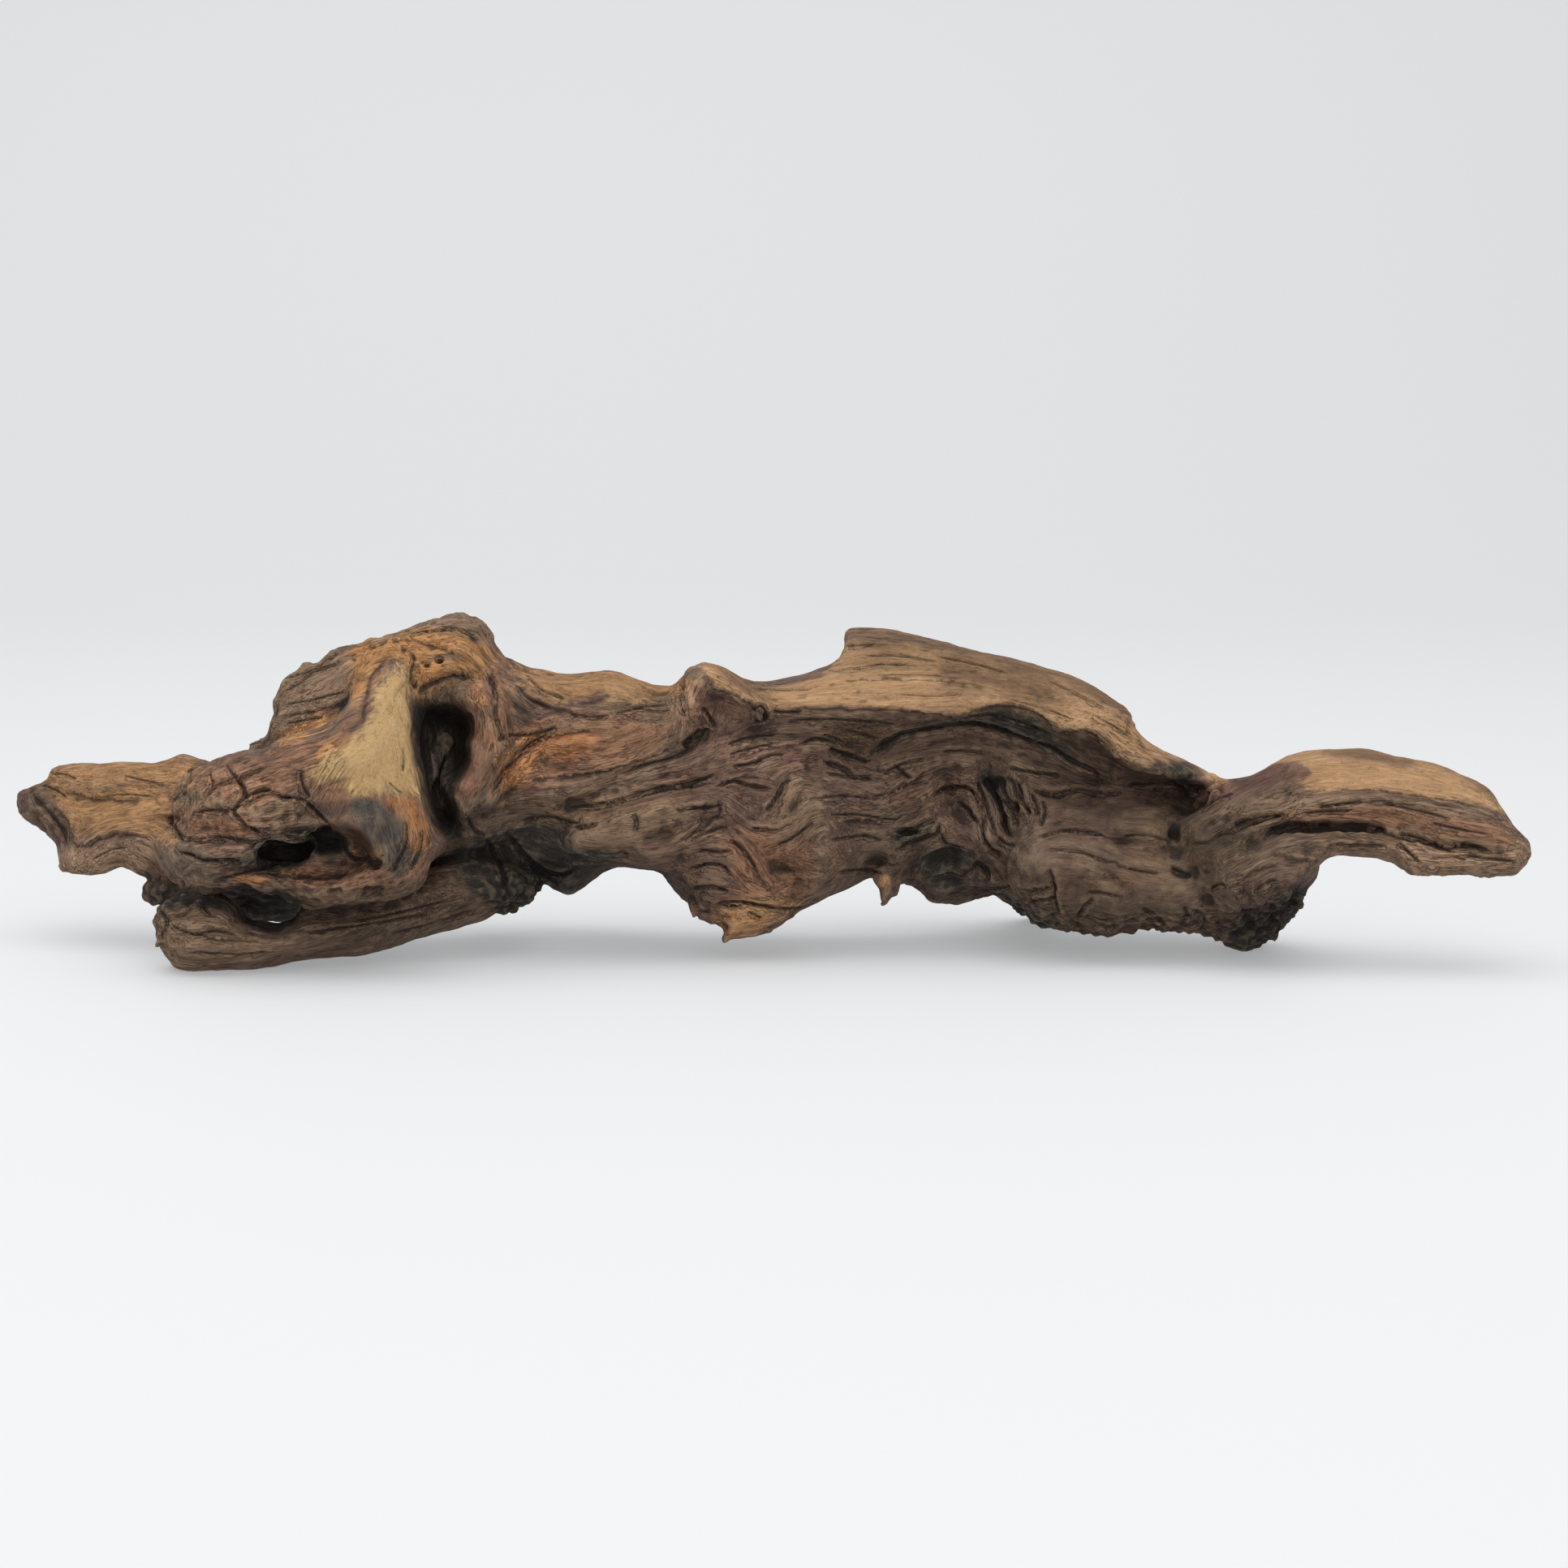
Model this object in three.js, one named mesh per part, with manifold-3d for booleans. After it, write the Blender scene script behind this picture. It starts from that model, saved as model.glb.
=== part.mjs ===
// A gnarled piece of mopani driftwood: the weathered root and trunk wood of the mopane tree. It is one solid
// that grew as one piece, and it lies on three low points: the root under its left end, the foot under its
// right end and a spur behind. It is in millimetres, with X along the wood, Y away from the viewer and Z up.
import * as THREE from "three";
import { ImprovedNoise } from "three/addons/math/ImprovedNoise.js";
import { SimplifyModifier } from "three/addons/modifiers/SimplifyModifier.js";
import { mergeVertices } from "three/addons/utils/BufferGeometryUtils.js";
import Module from "manifold-3d";

// Driving dimensions.
const LENGTH = 450; // the whole piece, from the tail's tip to the horn's
const REACH_FRONT = 75; // room for the surface in front of and behind the middle plane, and above the table
const REACH_BACK = 80;
const REACH_UP = 108;
const CELL = 2.2; // spacing of the grid on which the surface is found
const BLOCK = 4; // nodes of that grid that are looked at together
const STEEPEST = 2; // the most that a depth changes over a millimetre
const TRIANGLES = 11400; // what the finished solid is thinned to
const FILLET = 8; // how far two masses of wood flow into each other where they meet

// The outlines below are drawn as an eye sees them from in front, a little above the table.
const EYE_DISTANCE = 1300;
const EYE_HEIGHT_ANGLE = THREE.MathUtils.degToRad(7);
const EYE_TARGET = { x: 2.6, z: 50 };

// What the eye sees of the point x, y, z: how far right, and how far up, on the plane through the target.
function seen(x, y, z) {
  const rise = z - EYE_TARGET.z;
  const away = y * Math.cos(EYE_HEIGHT_ANGLE) - rise * Math.sin(EYE_HEIGHT_ANGLE);
  const up = y * Math.sin(EYE_HEIGHT_ANGLE) + rise * Math.cos(EYE_HEIGHT_ANGLE);
  const shrink = EYE_DISTANCE / (EYE_DISTANCE + away);
  return [EYE_TARGET.x + (x - EYE_TARGET.x) * shrink, EYE_TARGET.z + up * shrink];
}

// Every form is a function that returns how deep a point lies under its surface, and below zero outside.
// weld joins two depths with a fillet, and carve takes the second out of the first.
const weld = (a, b, fillet) => Math.max(a, b) + Math.max(fillet - Math.abs(a - b), 0) ** 2 / (4 * fillet);
const carve = (a, b, fillet) => -weld(-a, b, fillet);
const smoothstep = THREE.MathUtils.smoothstep;

// A value that runs smoothly through [x, value] stations along the wood, or a plain number.
function along(stations) {
  if (typeof stations === "number") return () => stations;
  return (x) => {
    const next = stations.findIndex((station) => station[0] > x);
    if (next === 0) return stations[0][1];
    if (next < 0) return stations.at(-1)[1];
    const [[x0, v0], [x1, v1]] = [stations[next - 1], stations[next]];
    return v0 + (v1 - v0) * smoothstep(x, x0, x1);
  };
}

// The distance in the plane from the point u, v to the stretch from a to b.
function offStretch(u, v, [au, av], [bu, bv]) {
  const [du, dv] = [bu - au, bv - av];
  const share = THREE.MathUtils.clamp(((u - au) * du + (v - av) * dv) / (du * du + dv * dv), 0, 1);
  return Math.hypot(u - au - share * du, v - av - share * dv);
}

// A mass of wood with the given outline, as seen from in front. Its middle surface lies at depth `middle`
// along x, leans back by `lean` for each millimetre of height over `leanFrom`, and is `half` thick each way.
// Its section is rounded off over `edge` from the outline, as an ellipse where `square` is 2, squarer above.
function mass({ outline, middle, half, edge, lean = 0, leanFrom = 0, square = 2 }) {
  const curve = new THREE.CatmullRomCurve3(
    outline.map(([u, v]) => new THREE.Vector3(u, v, 0)),
    true,
    "centripetal",
  );
  const rim = curve.getPoints(outline.length * 3).map((p) => [p.x, p.y]);
  const [middleAt, halfAt] = [along(middle), along(half)];
  const bounds = new THREE.Box2().setFromPoints(rim.map((p) => new THREE.Vector2(...p)));
  const reach = new THREE.Vector2();
  return (x, y, z, [u, v]) => {
    const outside = bounds.distanceToPoint(reach.set(u, v));
    if (outside > 2 * FILLET) return -outside;
    let nearest = Infinity;
    let within = false;
    for (let i = 1; i < rim.length; i++) {
      const [a, b] = [rim[i - 1], rim[i]];
      nearest = Math.min(nearest, offStretch(u, v, a, b));
      if (a[1] > v !== b[1] > v && u < a[0] + ((v - a[1]) * (b[0] - a[0])) / (b[1] - a[1])) within = !within;
    }
    const inset = within ? nearest : -nearest;
    const thick = halfAt(x);
    const offMiddle = Math.abs(y - middleAt(x) - lean * (z - leanFrom));
    const roundOff = Math.max(0, (edge - inset) / edge) ** square + (offMiddle / thick) ** square;
    return (1 - roundOff ** (1 / square)) * Math.min(edge, thick);
  };
}

// A round limb through [x, y, z, radius] points.
function limb(points) {
  const spine = new THREE.CatmullRomCurve3(points.map(([x, y, z]) => new THREE.Vector3(x, y, z)));
  const steps = (points.length - 1) * 6;
  const at = spine.getPoints(steps);
  const radii = at.map((_, i) => {
    const place = (i / steps) * (points.length - 1);
    const from = Math.min(Math.floor(place), points.length - 2);
    return THREE.MathUtils.lerp(points[from][3], points[from + 1][3], place - from);
  });
  const p = new THREE.Vector3();
  const nearest = new THREE.Vector3();
  const stretch = new THREE.Line3();
  return (x, y, z) => {
    p.set(x, y, z);
    let depth = -Infinity;
    for (let i = 1; i < at.length; i++) {
      stretch.set(at[i - 1], at[i]);
      const share = stretch.closestPointToPointParameter(p, true);
      const radius = THREE.MathUtils.lerp(radii[i - 1], radii[i], share);
      depth = Math.max(depth, radius - p.distanceTo(stretch.at(share, nearest)));
    }
    return depth;
  };
}

// An egg-shaped form round a centre, with its half sizes.
function egg({ centre, size }) {
  const least = Math.min(...size);
  return (...at) => (1 - Math.hypot(...at.map((v, i) => (v - centre[i]) / size[i]))) * least;
}

// The masses that the wood is grown from.

// The flat limb at the far left. Its face leans back from a low crease.
const tail = mass({
  outline: [
    [-225, 46], [-223, 49], [-216, 51], [-215, 54], [-211, 56], [-194, 57], [-180, 57], [-176, 59],
    [-168, 56], [-150, 55], [-134, 47], [-138, 27], [-160, 19], [-178, 17], [-182, 14], [-187, 17],
    [-186, 22], [-190, 23], [-194, 26], [-199, 23], [-210, 23.5], [-213, 27], [-213, 32], [-219, 36],
    [-225, 41],
  ],
  middle: [[-225, 30], [-185, 22], [-140, 8]],
  half: [[-225, 10], [-185, 13], [-140, 20]],
  edge: 9,
  lean: 0.7,
  leanFrom: 38,
});

// The high hump over the eye, with a flat weathered face on its left.
const hump = mass({
  outline: [
    [-158.5, 54], [-159.3, 66], [-158, 73], [-154, 78], [-147.5, 82], [-141, 87], [-136, 86], [-131, 90],
    [-124, 92], [-114, 94], [-105, 98], [-96, 100.5], [-92, 100.5], [-87, 98.5], [-84, 94], [-82, 89],
    [-76, 84], [-69, 73], [-71, 52], [-85, 32], [-109, 27], [-134, 30], [-150, 42],
  ],
  middle: [[-152, 16], [-120, 12], [-80, 6]],
  half: [[-152, 16], [-115, 29], [-80, 31]],
  edge: 22,
  lean: 0.3,
  leanFrom: 60,
});

// The burl that juts towards the viewer under the hump.
const burl = mass({
  outline: [
    [-180, 41], [-179, 49], [-174, 54], [-167, 57], [-158, 60], [-146, 64], [-134, 67], [-122, 71],
    [-111, 69], [-106, 59], [-104, 47], [-100, 36], [-98, 32], [-104, 26], [-105, 21], [-112, 18],
    [-120, 18], [-129, 15], [-137, 14], [-146, 18], [-155, 19], [-165, 18], [-173, 17], [-180, 23],
    [-182, 31],
  ],
  middle: [[-180, -26], [-150, -34], [-105, -30]],
  half: [[-180, 16], [-150, 24], [-105, 26]],
  edge: 14,
  lean: 0.4,
  leanFrom: 42,
});

// The smooth pale neck that runs down from the hump to the burl, left of the eye.
const neck = limb([[-112, -6, 84, 9], [-115, -22, 75, 9], [-118, -36, 58, 13], [-117, -44, 40, 17]]);

// The root that carries the left end, from its blunt tip at the front to the underside of the trunk behind.
const root = mass({
  outline: [
    [-184, 9], [-181, 14], [-172, 17], [-160, 16], [-155, 10], [-147, 9], [-142, 15], [-126, 18], [-109, 21],
    [-95, 27], [-81, 27], [-72, 21], [-76, 13], [-90, 8], [-109, 3], [-124, -1], [-142, -2], [-154, -5],
    [-178, -5], [-182, 1],
  ],
  middle: [[-184, -36], [-140, -30], [-75, 0]],
  half: [[-184, 13], [-140, 16], [-75, 22]],
  edge: 10,
});

// The wood behind the gap over the root.
const gapBack = mass({
  outline: [
    [-172, 40], [-172, 26], [-166, 15], [-158, 9], [-146, 8.5], [-138, 12], [-120, 16], [-98, 24], [-98, 44],
    [-140, 46],
  ],
  middle: 14,
  half: 16,
  edge: 6,
});

// The dark underside between the root and the trunk.
const underside = mass({
  outline: [
    [-100, 42], [-85, 44], [-61, 44], [-40, 39], [-30, 32], [-37, 25], [-46, 26], [-53, 22], [-61, 17],
    [-67, 20], [-72, 22], [-71, 19], [-76, 12], [-85, 13], [-95, 20], [-102, 30],
  ],
  middle: 20,
  half: 20,
  edge: 9,
});

// The trunk, from the hump to the right end.
const trunk = mass({
  outline: [
    [-88, 82], [-76, 84], [-61, 82], [-47, 83], [-37, 79], [-29, 78], [-13, 77], [1, 78], [13, 80],
    [35, 81], [59, 80], [83, 75], [100, 69], [109, 62], [120, 55], [131, 50], [146, 44], [159, 32],
    [160, 25], [154, 19], [153, 15], [150, 10], [144, 5], [138, 6], [126, 6], [111, 7], [98, 4], [85, 6],
    [74, 11], [68, 17], [54, 15], [47, 15], [39, 21], [29, 22], [22, 19], [13, 16], [1, 10], [-8, 13],
    [-23, 13], [-32, 22], [-35, 25], [-46, 26], [-61, 30], [-76, 35], [-88, 39], [-93, 59],
  ],
  middle: [[-90, 8], [-45, 4], [0, 6], [60, 14], [110, 8], [160, -2]],
  half: [[-90, 30], [-45, 26], [0, 28], [60, 32], [110, 32], [160, 22]],
  edge: 22,
});

// The lump on the trunk's near side, over the arch.
const snout = mass({
  outline: [
    [-62, 32], [-58, 39], [-47, 44], [-30, 48], [-13, 46], [-11, 32], [-25, 26], [-37, 25], [-47, 28],
    [-57, 29],
  ],
  middle: -18,
  half: 12,
  edge: 7,
});

// The broken knob on the trunk's top.
const knob = mass({
  outline: [
    [-28.5, 75], [-27, 82], [-25, 84.5], [-20, 86], [-15, 85], [-10, 81], [-4, 75], [-7, 69], [-18, 66],
    [-26, 69],
  ],
  middle: -12,
  half: 13,
  edge: 7,
  square: 3,
});

// The pale plate along the trunk's top. It leans back from the ledge over the dark heartwood.
const plate = mass({
  outline: [
    [-7, 78], [6, 80], [13, 83], [20, 89], [20, 95], [29, 96], [40, 94], [59, 90], [73, 86], [93, 79],
    [100, 74], [105, 71], [105, 68], [109, 64], [119, 58], [131, 51], [129, 50], [107, 54], [95, 63],
    [81, 67], [69, 73], [54, 70], [25, 71], [1, 72],
  ],
  middle: [[-7, -6], [50, -8], [95, -4], [130, 14]],
  half: 15,
  edge: 8,
  lean: 1.5,
  leanFrom: 70,
  square: 3,
});

// The swelling of the near side over the right foot.
const haunch = mass({
  outline: [
    [67, 27], [81, 41], [102, 44], [117, 44], [131, 41], [150, 32], [160, 25], [153, 18], [144, 12],
    [131, 6], [125, 5], [120, 6], [116, 5], [111, 8], [106, 6], [98, 4], [93, 7], [83, 6], [74, 11],
    [69, 17],
  ],
  middle: -8,
  half: 24,
  edge: 14,
});

// The torn spur that hangs in the middle of the arch.
const spur = mass({
  outline: [
    [-29, 27], [-26, 15], [-23, 11], [-15, 8], [-16, 6], [-17, 4], [-15, 3], [-12, 5], [-2, 7], [7, 12],
    [16, 18], [23, 27], [11, 39], [-18, 39],
  ],
  middle: -12,
  half: 15,
  edge: 12,
});

// The horn at the right end: a curved, layered limb that comes forward of the trunk.
const horn = mass({
  outline: [
    [120, 33], [122, 39], [131, 46], [136, 50], [146, 54], [153, 59], [165, 61], [174, 61], [189, 58],
    [208, 51], [216, 43], [219.5, 38], [225, 29], [222, 24], [215, 22], [203, 22], [190, 23], [183, 27],
    [165, 28], [160, 25], [154, 19], [146, 15], [131, 15], [123, 22],
  ],
  middle: [[120, -18], [160, -26], [225, -32]],
  half: [[120, 17], [160, 17], [225, 13]],
  edge: 11,
  lean: 0.7,
  leanFrom: 40,
});

// The three low points are the root above, the foot under the right end, and a spur that runs down behind.
const foot = mass({
  outline: [
    [126, 13], [131, 6], [136, 0], [141, 0], [145, 4], [149, 7], [151, 12], [153, 15], [153, 22], [131, 22],
  ],
  middle: 2,
  half: 13,
  edge: 7,
});
const backSpur = limb([[60, 26, 42, 18], [70, 43, 27, 13], [78, 55, 11, 9], [80, 58, 5, 7]]);
const tooth = limb([[31, -10, 24, 3], [32.5, -11, 19, 2.2], [33, -11, 16, 1.2]]);

// The hollows.
const eye = mass({
  outline: [
    [-107, 70], [-106, 74], [-100, 75], [-94, 74], [-89, 71], [-87, 66], [-87, 59], [-89, 54], [-92, 51],
    [-95, 47], [-94, 42], [-93, 38], [-95, 35], [-99, 35], [-102, 38], [-104, 43], [-105.5, 51], [-108, 62],
  ],
  middle: -42,
  half: 44,
  edge: 8,
});
const burlShelf = mass({
  outline: [
    [-165, 25], [-151, 27], [-144, 31], [-137, 36], [-127, 38], [-121, 34], [-118, 27], [-125, 22],
    [-137, 19], [-147, 22], [-157, 22],
  ],
  middle: -66,
  half: 19,
  edge: 4,
});
const burlPit = egg({ centre: [-142, -46, 37], size: [7, 13, 5] });
const rootGap = mass({
  outline: [[-165, 20], [-158, 19], [-147, 18], [-140, 14], [-142, 10], [-147, 9], [-156, 10.5], [-160, 15]],
  middle: -42,
  half: 44,
  edge: 3,
});
const lowHollow = egg({ centre: [49, -26, 24], size: [10, 14, 7] });

// The roots and rims that stand out round them.
const eyeRim = limb([
  [-88, -20, 78, 6], [-83, -24, 68, 6], [-84, -26, 56, 6], [-88, -26, 49, 5], [-94, -24, 48, 4],
]);

const masses = [
  tail, hump, burl, neck, trunk, snout, knob, plate, haunch, spur, horn, foot, backSpur, gapBack, underside,
];

// The ridges and furrows of the weathered faces: a line drawn on the near side as the eye sees it, or on the
// far side straight from behind, with how wide it is and how far it stands up.
const furrows = [
  { line: [[-221, 51], [-215, 42], [-209, 33], [-199, 33], [-186, 34], [-167, 28]], width: 5, height: 3 },
  { line: [[-214, 49], [-200, 42], [-184, 42], [-168, 38]], width: 6, height: -2 },
  { line: [[-178, 36], [-160, 35], [-146, 40], [-132, 41]], width: 4, height: -2.5 },
  { line: [[-60, 44], [-47, 47], [-32, 50], [-13, 52], [-1, 49]], width: 4, height: -3 },
  { line: [[-76, 70], [-66, 55], [-52, 50], [-36, 56], [-24, 62]], width: 6, height: -3 },
  { line: [[-26, 62], [-22, 68], [-18, 74]], width: 4, height: -2 },
  { line: [[22, 60], [37, 62], [49, 63], [61, 64], [73, 62], [84, 57], [94, 51]], width: 6, height: -5 },
  { line: [[-6, 60], [20, 55], [42, 50], [60, 46]], width: 9, height: -4 },
  { line: [[66, 56], [84, 50], [104, 47], [124, 44]], width: 6, height: -3 },
  { line: [[51, 52], [53, 44], [56, 36]], width: 4, height: -3.5 },
  { line: [[64, 53], [66, 45], [70, 37]], width: 4, height: -3.5 },
  { line: [[35, 18], [38, 32], [50, 38], [62, 34]], width: 4, height: 3 },
  { line: [[-18, 40], [-4, 30], [6, 20]], width: 5, height: -2.5 },
  { line: [[12, 44], [16, 34], [14, 24]], width: 5, height: 2.5 },
  { line: [[84, 36], [100, 33], [116, 30]], width: 4, height: -2.5 },
  { line: [[78, 26], [92, 24], [100, 16]], width: 4, height: 2 },
  { line: [[120, 38], [123, 28], [129, 18]], width: 5, height: -3.5 },
  { line: [[130, 37], [140, 41], [152, 44]], width: 4, height: -2.5 },
  {
    line: [[142, 33], [150, 37], [162, 38], [174, 38], [184, 36], [196, 32], [214, 30]],
    width: 3.5,
    height: -4,
  },
  { line: [[-172, 4], [-150, 2], [-128, 6], [-108, 12]], width: 3, height: 2 },
  { line: [[-150, 66], [-120, 58], [-80, 52], [-30, 54]], width: 9, height: -8, behind: true },
  { line: [[-60, 74], [-10, 70], [40, 66], [96, 52]], width: 6, height: 4, behind: true },
  { line: [[-40, 42], [10, 40], [56, 50], [110, 42], [150, 30]], width: 8, height: -7, behind: true },
  { line: [[-95, 32], [-50, 34], [-6, 28]], width: 6, height: 4, behind: true },
  { line: [[84, 24], [112, 22], [140, 20]], width: 5, height: 4, behind: true },
  { line: [[140, 46], [176, 50], [212, 36]], width: 4, height: -4, behind: true },
  { line: [[-214, 42], [-184, 44], [-160, 40]], width: 5, height: -3, behind: true },
];
const FACE_AT = 2; // how far back the near side's furrows reach
const FACE_FADE = 14; // over what depth they run out

function furrowed(x, y, z, [u, v]) {
  let raised = 0;
  for (const { line, width, height, behind } of furrows) {
    const farSide = smoothstep(y, FACE_AT, FACE_AT + FACE_FADE);
    const present = behind ? farSide : 1 - farSide;
    if (present === 0) continue;
    const [p, q] = behind ? [x, z] : [u, v];
    if (p < line[0][0] - 3 * width || p > line.at(-1)[0] + 3 * width) continue;
    let off = Infinity;
    for (let i = 1; i < line.length; i++) off = Math.min(off, offStretch(p, q, line[i - 1], line[i]));
    raised += present * height * Math.exp(-((off / width) ** 2));
  }
  return raised;
}

// The weathering between them: long low swellings that follow the grain, with smaller ones over them.
const perlin = new ImprovedNoise();
const SWELL = { height: 1.6, length: 34, width: 11 };
const RIPPLE = { height: 0.9, length: 15, width: 6 };
const weathered = (x, y, z) =>
  [SWELL, RIPPLE].reduce(
    (sum, { height, length, width }) => sum + height * perlin.noise(x / length, y / width, z / width + 7),
    0,
  );

function wood(x, y, z) {
  const sight = seen(x, y, z);
  let depth = -Infinity;
  for (const form of masses) depth = weld(depth, form(x, y, z, sight), FILLET);
  depth = weld(depth, root(x, y, z, sight), 3);
  depth = weld(depth, tooth(x, y, z), 2);
  depth = weld(depth, eyeRim(x, y, z), 5);
  if (Math.abs(depth) < 12) depth += furrowed(x, y, z, sight) + weathered(x, y, z);
  depth = carve(depth, eye(x, y, z, sight), 3);
  depth = carve(depth, burlShelf(x, y, z, sight), 3);
  depth = carve(depth, burlPit(x, y, z), 3);
  depth = carve(depth, rootGap(x, y, z, sight), 2);
  depth = carve(depth, lowHollow(x, y, z), 3);
  return depth;
}

// The surface where a depth function is zero, found on a grid. Each cube of the grid is cut into six corner
// pyramids, one for each order of its three axes, and each pyramid that the surface crosses gives one or two
// triangles. Neighbours share their edges, so the surface is closed.
function surfaceOf(depthAt, low, high, cell) {
  const count = low.map((v, i) => Math.ceil((high[i] - v) / cell) + 1);
  const nodeAt = (i, j, k) => i + count[0] * (j + count[1] * k);
  const place = (node) => [
    low[0] + (node % count[0]) * cell,
    low[1] + (Math.floor(node / count[0]) % count[1]) * cell,
    low[2] + Math.floor(node / (count[0] * count[1])) * cell,
  ];
  const depths = new Float64Array(count[0] * count[1] * count[2]);

  // A block of nodes whose middle is far from the surface takes one depth for all of them.
  for (let k = 0; k < count[2]; k += BLOCK)
    for (let j = 0; j < count[1]; j += BLOCK)
      for (let i = 0; i < count[0]; i += BLOCK) {
        const toMiddle = ((BLOCK - 1) / 2) * cell;
        const common = depthAt(...place(nodeAt(i, j, k)).map((v) => v + toMiddle));
        const far = Math.abs(common) > STEEPEST * toMiddle * Math.sqrt(3);
        for (let c = k; c < Math.min(k + BLOCK, count[2]); c++)
          for (let b = j; b < Math.min(j + BLOCK, count[1]); b++)
            for (let a = i; a < Math.min(i + BLOCK, count[0]); a++) {
              const node = nodeAt(a, b, c);
              depths[node] = far ? common : depthAt(...place(node)) || 1e-9;
            }
      }

  const positions = [];
  const vertexOn = new Map();
  const crossing = (a, b) => {
    const key = Math.min(a, b) * depths.length + Math.max(a, b);
    if (!vertexOn.has(key)) {
      vertexOn.set(key, positions.length / 3);
      const [from, to] = a < b ? [a, b] : [b, a];
      const share = depths[from] / (depths[from] - depths[to]);
      const [p, q] = [place(from), place(to)];
      positions.push(...p.map((v, i) => v + (q[i] - v) * share));
    }
    return vertexOn.get(key);
  };

  const triangles = [];
  const axisOrders = [[0, 1, 2], [1, 2, 0], [2, 0, 1], [0, 2, 1], [2, 1, 0], [1, 0, 2]];
  const steps = [nodeAt(1, 0, 0), nodeAt(0, 1, 0), nodeAt(0, 0, 1)];
  const cube = [0, 1].flatMap((i) => [0, 1].flatMap((j) => [0, 1].map((k) => nodeAt(i, j, k))));
  const crossPyramid = (corners, rightHanded) => {
    const inside = corners.filter((node) => depths[node] > 0);
    if (inside.length === 0 || inside.length === 4) return;
    const outside = corners.filter((node) => depths[node] <= 0);
    const order = [...inside, ...outside].map((node) => corners.indexOf(node));
    const swaps = order.reduce((sum, v, i) => sum + order.slice(i + 1).filter((w) => w < v).length, 0);
    const loop =
      inside.length === 1
        ? outside.map((node) => crossing(inside[0], node))
        : inside.length === 3
          ? inside.map((node) => crossing(node, outside[0]))
          : [[0, 0], [0, 1], [1, 1], [1, 0]].map(([i, o]) => crossing(inside[i], outside[o]));
    if ((swaps % 2 === 0) !== rightHanded) loop.reverse();
    triangles.push(loop[0], loop[1], loop[2]);
    if (loop.length === 4) triangles.push(loop[0], loop[2], loop[3]);
  };
  for (let k = 0; k < count[2] - 1; k++)
    for (let j = 0; j < count[1] - 1; j++)
      for (let i = 0; i < count[0] - 1; i++) {
        const start = nodeAt(i, j, k);
        const end = nodeAt(i + 1, j + 1, k + 1);
        const solid = depths[start] > 0;
        if (cube.every((step) => depths[start + step] > 0 === solid)) continue;
        axisOrders.forEach(([a, b], n) => {
          crossPyramid([start, start + steps[a], start + steps[a] + steps[b], end], n < 3);
        });
      }

  const geometry = new THREE.BufferGeometry();
  geometry.setAttribute("position", new THREE.Float32BufferAttribute(positions, 3));
  geometry.setIndex(triangles);
  return geometry;
}

// The wood's surface, thinned to a number of triangles that keeps its ridges.
async function skin() {
  const side = LENGTH / 2 + 20;
  const fine = surfaceOf(wood, [-side, -REACH_FRONT, -10], [side, REACH_BACK, REACH_UP], CELL);
  const welded = mergeVertices(fine, 0.05);
  const spare = 1 - (TRIANGLES * 3) / welded.index.count;
  return new SimplifyModifier().modify(welded, Math.ceil(spare * welded.attributes.position.count));
}

const wasm = await Module();
wasm.setup();

const toSolid = (geometry) =>
  new wasm.Manifold(
    new wasm.Mesh({
      numProp: 3,
      vertProperties: geometry.attributes.position.array,
      triVerts: new Uint32Array(geometry.index.array),
    }),
  );

function toGeometry(solid) {
  const { vertProperties, triVerts } = solid.getMesh();
  const geometry = new THREE.BufferGeometry();
  geometry.setAttribute("position", new THREE.BufferAttribute(vertProperties, 3));
  geometry.setIndex(new THREE.BufferAttribute(triVerts, 1));
  return geometry;
}

// A block under the table, with its corners shared.
function tableBlock() {
  const block = new THREE.BoxGeometry(2 * LENGTH, LENGTH, 40).translate(0, 0, -20);
  block.deleteAttribute("normal");
  block.deleteAttribute("uv");
  return mergeVertices(block);
}

// The three low points are worn flat where they meet the table.
const worn = toSolid(await skin()).subtract(toSolid(tableBlock()));
const geometry = toGeometry(worn);
geometry.computeBoundingBox();
const middle = geometry.boundingBox.getCenter(new THREE.Vector3());
geometry.translate(-middle.x, -middle.y, 0);
geometry.computeVertexNormals();

const heartwood = new THREE.MeshStandardMaterial({ color: 0x5b4030, roughness: 0.85, metalness: 0 });
const driftwood = new THREE.Mesh(geometry, heartwood);
driftwood.name = "mopani_wood";

const group = new THREE.Group();
group.add(driftwood);

export default group;
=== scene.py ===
import math

import bpy
import numpy as np
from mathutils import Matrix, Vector


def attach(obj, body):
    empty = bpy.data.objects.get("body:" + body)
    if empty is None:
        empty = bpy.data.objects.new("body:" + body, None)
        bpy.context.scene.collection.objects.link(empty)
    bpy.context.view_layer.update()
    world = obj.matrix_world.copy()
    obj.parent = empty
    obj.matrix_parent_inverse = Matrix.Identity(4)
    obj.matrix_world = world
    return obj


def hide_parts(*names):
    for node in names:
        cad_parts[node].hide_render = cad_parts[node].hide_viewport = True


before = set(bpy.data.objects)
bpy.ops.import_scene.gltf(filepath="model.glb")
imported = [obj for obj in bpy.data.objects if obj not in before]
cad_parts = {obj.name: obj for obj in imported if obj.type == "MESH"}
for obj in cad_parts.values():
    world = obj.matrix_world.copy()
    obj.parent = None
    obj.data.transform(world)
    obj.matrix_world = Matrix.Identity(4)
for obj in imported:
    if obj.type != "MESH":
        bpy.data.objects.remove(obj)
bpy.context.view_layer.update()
bpy.ops.object.select_all(action="DESELECT")

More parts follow.
